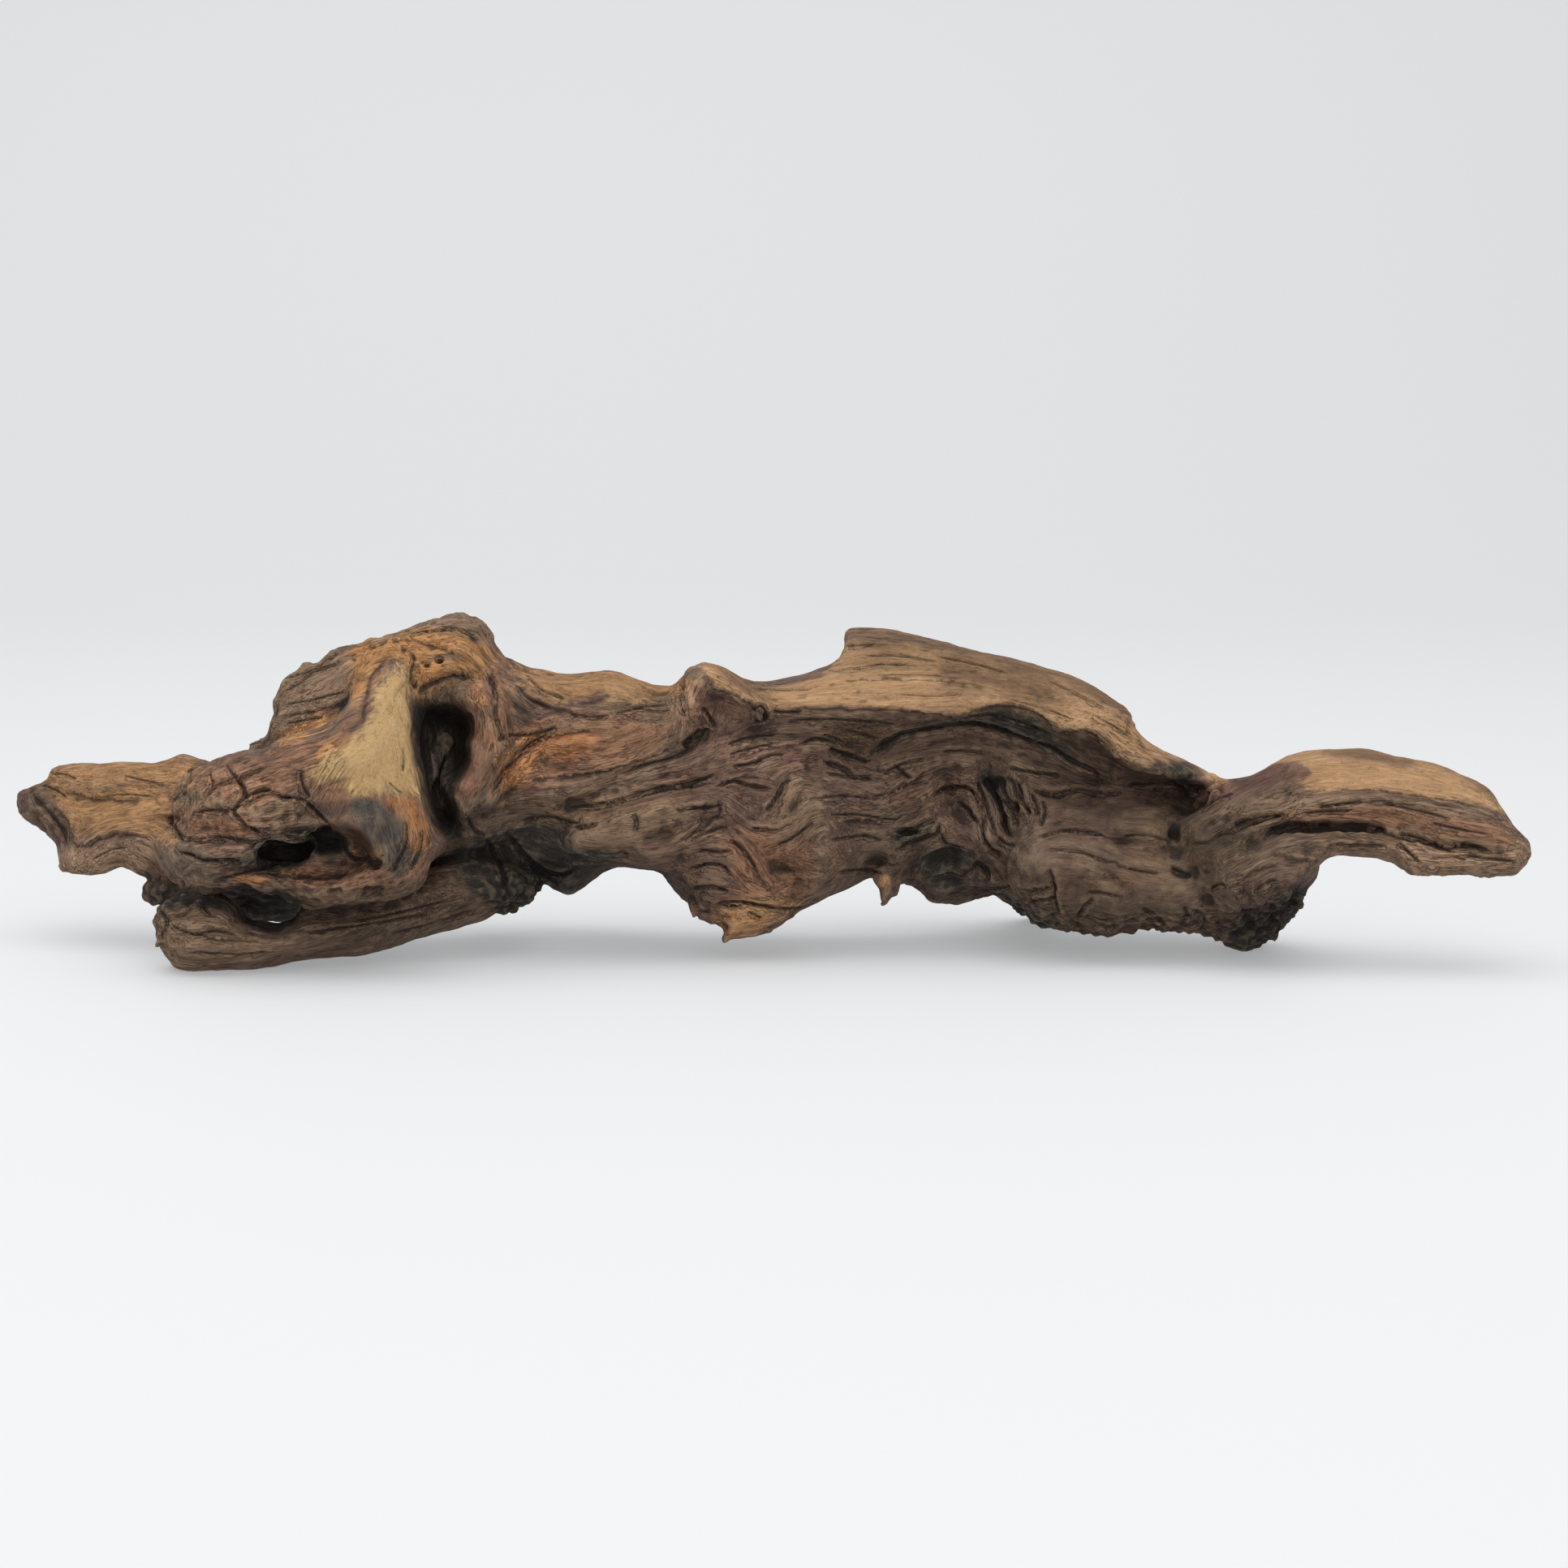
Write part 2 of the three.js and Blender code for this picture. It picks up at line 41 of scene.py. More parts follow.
# THE VIEW
# The piece is seen from in front and a little above, from far enough off that it is barely foreshortened.
# Marks on its near side are given below where the eye sees them, in points of a picture 1932 wide and high.
PICTURE = 1932
POINT = 0.2406  # millimetres on the wood to a point of the picture
EYE_DISTANCE = 1300.0
EYE_ANGLE = math.radians(7)
EYE_TARGET = np.array([8.6, -1.2, 50.0])
SENSOR = 36.0

toward_wood = np.array([0, math.cos(EYE_ANGLE), -math.sin(EYE_ANGLE)])
eye_up = np.array([0, math.sin(EYE_ANGLE), math.cos(EYE_ANGLE)])
eye_place = EYE_TARGET - toward_wood * EYE_DISTANCE

eye = bpy.data.cameras.new("eye")
eye.sensor_width = SENSOR
eye.lens = SENSOR * EYE_DISTANCE / (PICTURE * POINT)
eye_object = bpy.data.objects.new("eye", eye)
eye_object.location = Vector(eye_place / 1000)
eye_object.rotation_euler = (math.pi / 2 - EYE_ANGLE, 0, 0)
bpy.context.scene.collection.objects.link(eye_object)
bpy.context.scene.camera = eye_object


def seen(places):
    """Where the eye sees places in millimetres: points right and down in the picture."""
    away = places - EYE_TARGET
    shrink = EYE_DISTANCE / (EYE_DISTANCE + away @ toward_wood)
    right = away[:, 0] * shrink / POINT
    up = (away @ eye_up) * shrink / POINT
    return np.stack([PICTURE / 2 + right, PICTURE / 2 - up], axis=1)


# THE WOOD
# One gnarled piece of mopane root and trunk wood, grown as one. Sand and water have worn it down to its hard
# dark heart, with pale sapwood left on the top plate and the horn, a smooth straw-coloured saddle over the
# burl, some blackened wood, and drying checks that follow the winding grain. Painted shade darkens its
# hollows, the gaps between its parts, the underside of the arch's overhang and its low undersides.
VOXEL = 0.0007
SMOOTHING = 5
MOST_FACES = 196000

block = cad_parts["mopani_wood"]
driftwood = block.copy()
driftwood.data = block.data.copy()
driftwood.name = "driftwood"
driftwood.data.name = "driftwood"
driftwood.parent = None
for key in list(driftwood.keys()):
    del driftwood[key]
bpy.context.scene.collection.objects.link(driftwood)
bpy.context.view_layer.objects.active = driftwood
driftwood.select_set(True)
bpy.ops.object.mode_set(mode="EDIT")
bpy.ops.mesh.select_all(action="SELECT")
bpy.ops.mesh.remove_doubles(threshold=0.00001)
bpy.ops.object.mode_set(mode="OBJECT")

# Teeth and splinters left where the wood tore: root and tip as the eye sees them, how far the tip comes
# forward of the root, and the thickness at each end in millimetres.
SPLINTERS = [
    ([549, 896], [527, 974], 9, 5.0, 2.4),
    ([892, 1148], [893, 1163], 0, 4.4, 0.8),
    ([857, 1114], [855, 1131], 1, 3.6, 1.0),
    ([1091, 1080], [1088, 1110], 0, 3.2, 0.6),
    ([617, 1084], [606, 1096], 0, 3.2, 0.8),
    ([632, 1100], [622, 1124], 1, 3.4, 1.0),
    ([648, 1096], [652, 1112], 0, 3.0, 0.8),
    ([655, 1082], [666, 1093], 0, 3.0, 0.8),
    ([198, 1150], [193, 1166], 1, 3.0, 1.0),
    ([1352, 1146], [1359, 1158], 0, 3.6, 1.2),
    ([1428, 1140], [1437, 1152], 0, 3.2, 1.4),
    ([1572, 1126], [1583, 1141], 0, 3.2, 1.2),
    ([1538, 1150], [1531, 1174], 1, 5.0, 1.6),
    ([1590, 1108], [1604, 1119], 1, 4.0, 1.6),
    ([1562, 1146], [1573, 1158], 1, 3.6, 1.4),
    ([1596, 1106], [1607, 1113], 0, 3.0, 1.2),
    ([76, 1064], [80, 1076], 0, 3.0, 1.2),
]
for root, tip, forward, thick_root, thick_tip in SPLINTERS:
    ends = []
    for mark in (root, tip):
        sight = toward_wood * EYE_DISTANCE + eye_up * (PICTURE / 2 - mark[1]) * POINT
        ends.append(sight + [(mark[0] - PICTURE / 2) * POINT, 0, 0])
    bpy.context.view_layer.update()
    met, spot, _, _ = driftwood.ray_cast(Vector(eye_place / 1000), Vector(ends[0]).normalized())
    if not met:
        continue
    away = (np.array(spot) * 1000 - eye_place) @ toward_wood
    low_end, high_end = (
        Vector((eye_place + ends[0] * (away + 1.0) / EYE_DISTANCE) / 1000),
        Vector((eye_place + ends[1] * (away - forward) / EYE_DISTANCE) / 1000),
    )
    lean = high_end - low_end
    bpy.ops.mesh.primitive_cone_add(
        vertices=9,
        radius1=thick_root / 2000,
        radius2=thick_tip / 2000,
        depth=lean.length,
        location=(low_end + high_end) / 2,
        rotation=lean.to_track_quat("Z", "Y").to_euler(),
    )
    bpy.context.view_layer.objects.active = driftwood
    driftwood.select_set(True)
    bpy.ops.object.join()


def finish_with(kind, **settings):
    """Adds one modifier to the wood and applies it."""
    step = driftwood.modifiers.new(kind, kind)
    for name, value in settings.items():
        setattr(step, name, value)
    bpy.ops.object.modifier_apply(modifier=step.name)


finish_with("REMESH", mode="VOXEL", voxel_size=VOXEL, adaptivity=0)
finish_with("SMOOTH", factor=0.5, iterations=SMOOTHING)


def read_wood():
    """The wood's points and the way that they face, in millimetres."""
    mesh = driftwood.data
    places = np.empty(len(mesh.vertices) * 3, np.float32)
    mesh.vertices.foreach_get("co", places)
    faces = np.empty(len(mesh.vertices) * 3, np.float32)
    mesh.vertex_normals.foreach_get("vector", faces)
    return places.reshape(-1, 3).astype(float) * 1000, faces.reshape(-1, 3).astype(float)


def ease(low, high, values):
    """Runs smoothly from 0 at low to 1 at high."""
    share = np.clip((values - low) / (high - low), 0, 1)
    return share * share * (3 - 2 * share)


def spread_over_neighbours(values, times):
    """Evens values out over the mesh."""
    pairs = np.empty(len(driftwood.data.edges) * 2, np.int32)
    driftwood.data.edges.foreach_get("vertices", pairs)
    pairs = pairs.reshape(-1, 2)
    count = np.bincount(pairs.ravel(), minlength=len(values)).astype(float)
    columns = values.reshape(len(values), -1)
    for _ in range(times):
        total = np.empty_like(columns)
        for k in range(columns.shape[1]):
            total[:, k] = np.bincount(pairs[:, 0], columns[pairs[:, 1], k], len(values))
            total[:, k] += np.bincount(pairs[:, 1], columns[pairs[:, 0], k], len(values))
        columns = (columns + total / count[:, None]) / 2
    return columns.reshape(values.shape)


# The winding of the grain on the near side, as short runs of fibres. Between the runs it turns smoothly from
# one to the next.
GRAIN = [
    # the flat limb at the far left
    [[60, 955], [100, 952], [150, 950], [210, 955]],
    [[50, 967], [90, 966], [140, 970], [200, 978]],
    [[45, 978], [70, 990], [92, 1008]],
    [[60, 995], [80, 1015], [90, 1042]],
    [[110, 1000], [150, 995], [200, 985]],
    [[98, 1046], [120, 1030], [150, 1020], [180, 1022], [205, 1040], [225, 1058]],
    [[105, 1060], [125, 1046], [160, 1042], [185, 1050], [200, 1065]],
    # the hump
    [[345, 850], [380, 838], [415, 825], [440, 812]],
    [[340, 868], [380, 860], [420, 848]],
    [[335, 888], [380, 880], [420, 872], [440, 862]],
    [[332, 906], [370, 905], [410, 895], [450, 875], [465, 850], [475, 835]],
    [[365, 822], [400, 808], [430, 795], [470, 785], [520, 770], [560, 759], [590, 770]],
    [[430, 808], [470, 795], [510, 784], [550, 778], [590, 790], [612, 812]],
    [[520, 800], [555, 798], [585, 812], [600, 835], [612, 870], [618, 905]],
    [[590, 850], [600, 890], [597, 935], [580, 972]],
    # the saddle
    [[490, 825], [475, 865], [455, 910], [420, 950], [400, 985]],
    [[498, 860], [500, 900], [506, 940], [515, 980], [522, 1020]],
    [[480, 900], [478, 950], [480, 1000], [490, 1040]],
    # the burl
    [[215, 985], [250, 975], [290, 965], [330, 950], [370, 935]],
    [[215, 1030], [260, 1025], [310, 1028], [360, 1020]],
    [[230, 1075], [280, 1070], [330, 1060], [370, 1050], [410, 1050]],
    [[300, 1085], [345, 1095], [390, 1108], [430, 1100], [480, 1085], [520, 1060]],
    # the root
    [[205, 1150], [260, 1148], [300, 1158], [350, 1160], [420, 1140], [500, 1120], [580, 1100]],
    [[200, 1175], [260, 1180], [330, 1175], [420, 1165], [500, 1150], [580, 1125]],
    [[210, 1115], [240, 1110], [270, 1112], [300, 1130]],
    [[370, 1130], [430, 1120], [500, 1105], [560, 1090]],
    # the underside below the trunk
    [[590, 1030], [610, 1060], [625, 1100]],
    [[620, 1020], [645, 1060], [690, 1085], [720, 1065], [750, 1058]],
    # the trunk up to the knob
    [[640, 826], [655, 848], [675, 865]],
    [[660, 830], [685, 850], [720, 862], [780, 866]],
    [[680, 833], [740, 838], [800, 850], [840, 856]],
    [[625, 850], [650, 875], [690, 882], [740, 880], [800, 872]],
    [[605, 978], [625, 948], [650, 918], [690, 898], [750, 893]],
    [[630, 955], [660, 925], [700, 915], [760, 912], [820, 895]],
    [[640, 955], [700, 950], [760, 938], [820, 915]],
    [[640, 982], [700, 977], [740, 966], [790, 946], [840, 925], [880, 905]],
    [[700, 996], [740, 990], [790, 977], [840, 965], [880, 955]],
    [[620, 1010], [660, 1004], [700, 1010], [760, 1012], [820, 1000]],
    [[700, 1035], [760, 1040], [820, 1035], [850, 1020]],
    # the knob
    [[845, 895], [850, 860], [865, 830]],
    [[870, 822], [900, 835], [930, 860], [950, 872]],
    [[880, 900], [890, 870], [920, 880]],
    # the plate
    [[930, 850], [980, 850], [1030, 845], [1090, 840], [1150, 840], [1210, 845], [1270, 857], [1330, 873],
     [1380, 898]],
    [[1040, 795], [1080, 793], [1130, 799], [1190, 810], [1250, 825], [1310, 845], [1360, 870],
     [1390, 890]],
    [[960, 866], [1050, 866], [1150, 866], [1200, 862], [1260, 868], [1300, 882], [1350, 897], [1390, 925],
     [1440, 942]],
    [[1400, 905], [1440, 928], [1480, 950], [1510, 968]],
    # the dark heartwood under the ledge
    [[900, 915], [940, 903], [980, 900], [1020, 903], [1060, 913], [1090, 922]],
    [[900, 950], [940, 937], [970, 928], [1010, 925], [1050, 932], [1080, 945]],
    [[880, 970], [920, 966], [950, 972]],
    [[940, 1003], [955, 982], [968, 962], [990, 952], [1030, 958], [1080, 962]],
    [[950, 1042], [978, 1032], [1000, 1010], [1040, 1003], [1090, 1005], [1120, 995]],
    [[840, 1000], [880, 995], [900, 1000], [930, 1020], [950, 1022]],
    [[835, 1042], [870, 1032], [900, 1032], [925, 1055], [945, 1085]],
    [[840, 1068], [870, 1060], [900, 1068], [930, 1095], [970, 1105]],
    [[860, 1100], [900, 1105], [940, 1116], [990, 1118], [1030, 1098]],
    [[890, 1150], [915, 1133], [950, 1128], [1000, 1112], [1060, 1085]],
    [[1010, 1060], [1050, 1065], [1090, 1060]],
    # the arch, its flutes and the low hollow
    [[1070, 932], [1095, 915], [1130, 902], [1170, 894], [1210, 892], [1250, 903], [1290, 918], [1330, 945],
     [1360, 957]],
    [[1090, 940], [1140, 925], [1190, 925], [1240, 935], [1290, 955], [1330, 965], [1380, 975],
     [1440, 970]],
    [[1100, 975], [1140, 955], [1190, 945]],
    [[1150, 980], [1170, 971], [1195, 975], [1210, 990], [1212, 1015], [1222, 1042], [1240, 1058]],
    [[1215, 958], [1228, 978], [1236, 1003], [1246, 1032]],
    [[1256, 963], [1260, 988], [1270, 1004]],
    [[1100, 1030], [1130, 1018], [1152, 1000], [1170, 985]],
    [[1110, 1095], [1130, 1060], [1150, 1042], [1185, 1040], [1205, 1062], [1220, 1085]],
    [[1160, 1108], [1200, 1100], [1250, 1085], [1275, 1058]],
    # the haunch
    [[1275, 1030], [1310, 1022], [1345, 1026], [1400, 1028], [1440, 1034]],
    [[1290, 1047], [1330, 1050], [1370, 1062], [1420, 1072]],
    [[1310, 1100], [1350, 1098], [1400, 1108], [1460, 1105], [1520, 1090]],
    [[1310, 1140], [1340, 1112], [1370, 1105]],
    [[1400, 990], [1440, 985], [1475, 995]],
    [[1300, 1125], [1380, 1135], [1450, 1130], [1510, 1130]],
    # the horn
    [[1455, 1020], [1480, 1000], [1520, 975], [1570, 953], [1610, 945]],
    [[1460, 1045], [1490, 1035], [1530, 1012], [1580, 1004], [1640, 994], [1700, 990], [1760, 1000],
     [1850, 1018]],
    [[1480, 1070], [1520, 1055], [1560, 1032], [1600, 1018], [1660, 1016], [1720, 1026], [1780, 1040],
     [1840, 1048]],
    [[1560, 950], [1600, 933], [1660, 927], [1720, 936], [1780, 955], [1840, 980]],
    [[1620, 962], [1700, 962], [1780, 975], [1850, 998]],
    [[1640, 1050], [1700, 1052], [1750, 1065], [1820, 1065], [1875, 1062]],
    [[1540, 1100], [1570, 1080], [1610, 1075]],
]

# Checks and furrows that the eye picks out one by one: the line, how wide the mouth is and how deep it goes.
CHECKS = [
    # the flat limb
    ([[38, 976], [60, 1000], [75, 1020], [84, 1043]], 7, 1.2),
    ([[62, 952], [80, 954], [95, 960]], 2.5, 0.7),
    ([[52, 966], [70, 974], [84, 984]], 2.5, 0.7),
    ([[120, 983], [150, 979], [190, 981]], 2.5, 0.6),
    ([[150, 955], [180, 962], [200, 966]], 2.5, 0.6),
    ([[110, 1062], [135, 1048], [160, 1044]], 3, 0.6),
    # the hump
    ([[345, 838], [380, 828], [420, 816]], 3, 0.8),
    ([[345, 870], [385, 862], [425, 852]], 2.5, 0.6),
    ([[350, 893], [400, 882]], 2.5, 0.6),
    ([[405, 800], [425, 793], [450, 792]], 3, 1.0),
    ([[540, 772], [565, 774], [590, 780]], 3, 0.9),
    ([[500, 783], [530, 777], [548, 778]], 2.5, 0.8),
    ([[598, 826], [606, 840], [613, 858], [612, 878], [616, 892], [622, 912]], 4, 1.6),
    ([[475, 815], [456, 836], [449, 868], [443, 890], [418, 906]], 8, 0.8),
    ([[503, 800], [511, 812], [508, 830], [514, 850]], 4, 1.0),
    ([[512, 858], [524, 846], [545, 836], [570, 832], [588, 842]], 8, 1.0),
    # the saddle
    ([[497, 918], [499, 935], [497, 952]], 2.2, 0.6),
    ([[478, 962], [488, 972], [498, 978]], 2.4, 0.6),
    # the burl
    ([[277, 940], [288, 955], [296, 966], [300, 981], [292, 992], [287, 1001], [297, 1012],
      [303, 1018]], 5, 2.0),
    ([[253, 973], [270, 966], [285, 960], [300, 955], [316, 948], [332, 944]], 4, 1.5),
    ([[300, 985], [311, 978], [326, 974], [338, 975]], 5, 1.6),
    ([[236, 1002], [260, 998], [286, 1001]], 3.5, 1.0),
    ([[303, 1018], [325, 1023], [355, 1022], [390, 1017]], 3.5, 1.0),
    ([[340, 982], [368, 984], [385, 996], [402, 1012], [412, 1024]], 4, 1.3),
    ([[372, 945], [372, 965], [384, 985]], 4, 1.0),
    ([[205, 1003], [214, 1014], [222, 1028], [240, 1034], [270, 1031], [308, 1036], [338, 1033]], 4.5, 1.5),
    ([[238, 945], [232, 962], [222, 978], [210, 990]], 5, 1.0),
    ([[258, 950], [262, 968], [252, 985]], 3.5, 0.9),
    ([[215, 1048], [235, 1052], [250, 1059], [300, 1061]], 6, 2.2),
    ([[262, 1085], [290, 1078], [330, 1068], [352, 1058]], 4, 1.0),
    ([[320, 1075], [360, 1080], [400, 1082], [440, 1075]], 5, 1.0),
    ([[420, 1030], [428, 1050], [440, 1058], [460, 1056]], 5, 1.4),
    ([[296, 1052], [322, 1036], [350, 1027], [384, 1022], [410, 1022], [424, 1036]], 9, 3.0),
    ([[500, 1008], [502, 1035], [492, 1060], [484, 1078]], 5, 0.9),
    ([[522, 1020], [518, 1048], [505, 1075]], 5, 0.9),
    # the root
    ([[208, 1128], [215, 1142], [240, 1150], [270, 1147], [300, 1156]], 4, 1.2),
    ([[196, 1120], [205, 1135], [200, 1155]], 5, 1.2),
    ([[250, 1112], [255, 1122], [262, 1128]], 4, 0.9),
    ([[370, 1150], [420, 1143], [470, 1137], [530, 1125]], 3.5, 1.0),
    ([[430, 1136], [500, 1122], [560, 1108]], 3, 0.8),
    ([[230, 1172], [290, 1176], [340, 1172]], 3, 0.7),
    ([[480, 1150], [540, 1136], [590, 1120]], 3, 0.8),
    # the underside below the trunk
    ([[598, 1032], [615, 1062], [628, 1095]], 5, 1.5),
    ([[622, 1022], [645, 1055], [672, 1075], [697, 1078], [715, 1064]], 6, 1.8),
    ([[575, 1005], [585, 1025], [600, 1030]], 5, 1.2),
    ([[650, 1065], [690, 1092]], 5, 1.2),
    # the trunk
    ([[605, 980], [625, 950], [650, 918], [680, 902]], 9, 1.8),
    ([[622, 905], [650, 905], [690, 896]], 5, 1.0),
    ([[635, 842], [655, 862], [680, 872]], 4, 0.8),
    ([[648, 830], [668, 850], [700, 862]], 3, 0.7),
    ([[700, 880], [730, 884], [752, 880]], 4, 0.9),
    ([[700, 996], [718, 993], [740, 990], [762, 985], [790, 976], [822, 968], [850, 965], [872, 958],
      [884, 949]], 5, 2.2),
    ([[880, 969], [905, 962], [925, 968], [952, 972]], 4, 1.6),
    ([[708, 1019], [722, 1016], [736, 1014]], 4, 1.3),
    ([[640, 1012], [675, 1006], [710, 1014], [716, 1003]], 5, 1.2),
    ([[780, 1000], [786, 1012], [784, 1026]], 4, 0.8),
    ([[764, 955], [790, 944], [830, 932], [862, 914]], 6, 1.2),
    ([[756, 880], [790, 872], [825, 868]], 3, 0.6),
    ([[836, 992], [870, 996], [893, 990]], 4, 1.3),
    ([[848, 1036], [880, 1022], [900, 1018]], 4, 1.0),
    ([[720, 1048], [750, 1052], [768, 1050], [775, 1060]], 4, 1.0),
    ([[880, 1010], [888, 1000], [884, 985]], 4, 0.9),
    # the knob
    ([[838, 838], [838, 862], [845, 885]], 5, 1.2),
    ([[864, 870], [874, 884], [881, 900]], 4, 1.2),
    ([[842, 920], [852, 908], [866, 898]], 6, 2.0),
    ([[925, 878], [935, 890], [944, 880], [938, 870], [926, 876]], 3, 1.0),
    ([[950, 876], [968, 877], [988, 876]], 3.5, 1.2),
    # the plate
    ([[1012, 826], [1040, 825], [1062, 822], [1092, 818], [1130, 821]], 2.6, 0.9),
    ([[1040, 796], [1062, 795], [1080, 793]], 2.6, 0.8),
    ([[925, 849], [960, 849], [1005, 848]], 2.2, 0.6),
    ([[1150, 808], [1200, 818], [1250, 832]], 2.4, 0.7),
    ([[1290, 838], [1330, 856], [1365, 875]], 2.6, 0.8),
    ([[1100, 855], [1150, 858], [1190, 855]], 2.2, 0.5),
    ([[1240, 862], [1285, 872], [1330, 890]], 2.4, 0.6),
    ([[1345, 880], [1370, 893], [1392, 908]], 2.6, 0.7),
    ([[1060, 808], [1110, 808], [1160, 816]], 2.2, 0.6),
    ([[1080, 832], [1140, 832], [1200, 838]], 2.0, 0.5),
    # the dark heartwood
    ([[960, 892], [1000, 886], [1060, 889], [1110, 893]], 3, 0.8),
    ([[895, 918], [925, 908], [960, 905]], 3.5, 1.0),
    ([[985, 917], [1005, 911], [1035, 916]], 4, 1.5),
    ([[1038, 900], [1060, 905], [1082, 911]], 3.5, 1.2),
    ([[1012, 905], [1028, 910], [1040, 916]], 3, 1.0),
    ([[902, 945], [925, 941], [940, 936]], 4, 1.4),
    ([[930, 938], [950, 931], [968, 929]], 3.5, 1.2),
    ([[895, 930], [930, 921], [960, 915]], 3, 0.9),
    ([[1020, 921], [1045, 930], [1072, 938]], 4, 1.5),
    ([[1014, 938], [1035, 943], [1052, 954], [1078, 960]], 4, 1.6),
    ([[1015, 951], [1045, 956], [1078, 955]], 3, 1.0),
    ([[1100, 940], [1115, 955], [1125, 960]], 4, 1.2),
    ([[942, 1000], [954, 984], [962, 968], [976, 955]], 4, 1.3),
    ([[1075, 982], [1100, 975], [1118, 962]], 3.5, 1.0),
    ([[955, 1042], [980, 1030], [1002, 1010]], 4, 1.2),
    ([[1020, 1003], [1060, 1004], [1100, 1010], [1115, 1000]], 3, 1.0),
    ([[925, 1020], [950, 1021]], 3, 1.0),
    ([[845, 1072], [870, 1064], [890, 1066], [905, 1080]], 4, 1.2),
    ([[848, 1095], [875, 1094], [900, 1098]], 4.5, 1.5),
    ([[880, 1112], [915, 1112], [945, 1117], [980, 1119], [1005, 1112]], 4.5, 1.6),
    ([[898, 1032], [920, 1050], [935, 1075]], 4, 0.9),
    ([[860, 1046], [885, 1050], [905, 1048]], 3.5, 1.0),
    ([[920, 1122], [940, 1132]], 3, 0.9),
    ([[1030, 1075], [1060, 1072], [1090, 1075]], 3, 0.8),
    ([[995, 985], [1040, 980], [1080, 985]], 3, 0.7),
    ([[1020, 1035], [1060, 1030], [1090, 1036]], 3, 0.7),
    # the arch and the long checks right of it
    ([[1066, 932], [1086, 918], [1110, 905], [1145, 898], [1180, 893], [1212, 893], [1245, 902],
      [1275, 912]], 6, 2.4),
    ([[1275, 912], [1300, 924], [1322, 940], [1345, 950], [1358, 958]], 5, 2.0),
    ([[1160, 925], [1190, 924], [1215, 927]], 3.5, 1.0),
    ([[1085, 955], [1110, 942], [1140, 934]], 3.5, 1.0),
    ([[1180, 886], [1220, 880], [1262, 890], [1295, 905]], 4, 1.2),
    ([[1270, 972], [1298, 978], [1328, 972], [1350, 977], [1385, 977]], 4.5, 1.8),
    ([[1385, 966], [1420, 967], [1452, 968], [1470, 980]], 3.5, 1.2),
    ([[1240, 945], [1275, 952], [1310, 955]], 3.5, 1.0),
    ([[1275, 1032], [1310, 1023], [1342, 1025], [1362, 1030]], 3.5, 1.2),
    ([[1290, 1046], [1325, 1047], [1352, 1056], [1372, 1062]], 3.5, 1.1),
    ([[1380, 1030], [1410, 1030], [1440, 1036]], 3, 0.8),
    # the flutes
    ([[1148, 980], [1166, 971], [1192, 972], [1208, 986], [1214, 1002]], 5, 2.0),
    ([[1214, 1002], [1211, 1020], [1216, 1040], [1236, 1057]], 5, 1.8),
    ([[1214, 956], [1226, 976], [1236, 1001], [1241, 1020], [1247, 1034]], 6, 2.8),
    ([[1254, 962], [1259, 985], [1266, 998], [1272, 1004]], 5, 2.2),
    ([[1236, 984], [1246, 1000], [1254, 1006]], 6, 2.2),
    ([[1178, 985], [1194, 1000], [1204, 1012]], 4.5, 1.4),
    ([[1204, 960], [1214, 985], [1221, 1008], [1230, 1034]], 4, 2.0),
    ([[1229, 958], [1238, 978], [1248, 1000], [1256, 1020]], 3.5, 1.8),
    ([[1242, 956], [1249, 972], [1257, 990]], 3.5, 1.6),
    ([[1270, 976], [1277, 990], [1279, 1006]], 3.5, 1.4),
    ([[1284, 985], [1288, 1000], [1282, 1020]], 4, 1.0),
    ([[1230, 1030], [1240, 1040], [1252, 1040]], 4, 0.9),
    # the low hollow and its rolled lips
    ([[1100, 1036], [1118, 1022], [1140, 1014], [1156, 1002]], 5, 1.8),
    ([[1102, 1048], [1118, 1040], [1142, 1032], [1156, 1026], [1158, 1010]], 6, 2.2),
    ([[1158, 1026], [1166, 1038], [1185, 1044]], 4, 1.2),
    ([[1200, 1062], [1212, 1070], [1220, 1086]], 5, 1.4),
    ([[1165, 1104], [1190, 1096], [1225, 1096], [1250, 1090]], 4, 1.2),
    # the haunch
    ([[1296, 1072], [1300, 1090], [1301, 1110], [1306, 1128]], 4, 1.0),
    ([[1265, 1112], [1290, 1108], [1302, 1112]], 4, 1.2),
    ([[1336, 1100], [1360, 1101], [1385, 1106]], 4, 1.2),
    ([[1328, 1134], [1338, 1118], [1350, 1107]], 4.5, 1.2),
    ([[1386, 1068], [1410, 1074], [1430, 1076]], 3.5, 1.0),
    ([[1442, 1066], [1455, 1074], [1468, 1080]], 5, 1.6),
    ([[1405, 1118], [1422, 1130], [1436, 1142]], 5, 1.2),
    ([[1470, 1120], [1484, 1132], [1478, 1146]], 5, 1.0),
    ([[1545, 1098], [1562, 1088], [1576, 1084]], 4, 0.9),
    ([[1490, 1098], [1500, 1090], [1512, 1092]], 4, 0.8),
    ([[1452, 1140], [1462, 1128], [1458, 1116]], 5, 1.0),
    # the horn
    ([[1514, 1024], [1530, 1012], [1556, 1007], [1586, 1003]], 7, 2.8),
    ([[1556, 1036], [1568, 1022], [1600, 1018], [1650, 1016], [1695, 1019], [1715, 1026]], 7.5, 3.0),
    ([[1715, 1026], [1745, 1032], [1775, 1041], [1810, 1042], [1842, 1050]], 6, 2.2),
    ([[1620, 994], [1648, 991], [1682, 985]], 4, 1.2),
    ([[1600, 1002], [1635, 1000], [1668, 998]], 3.5, 1.0),
    ([[1700, 990], [1750, 999], [1790, 1010]], 3, 0.7),
    ([[1722, 1036], [1736, 1050], [1750, 1062]], 5, 1.2),
    ([[1800, 1052], [1840, 1058], [1872, 1062]], 3.5, 1.0),
    ([[1640, 1040], [1680, 1044], [1712, 1042]], 4, 0.9),
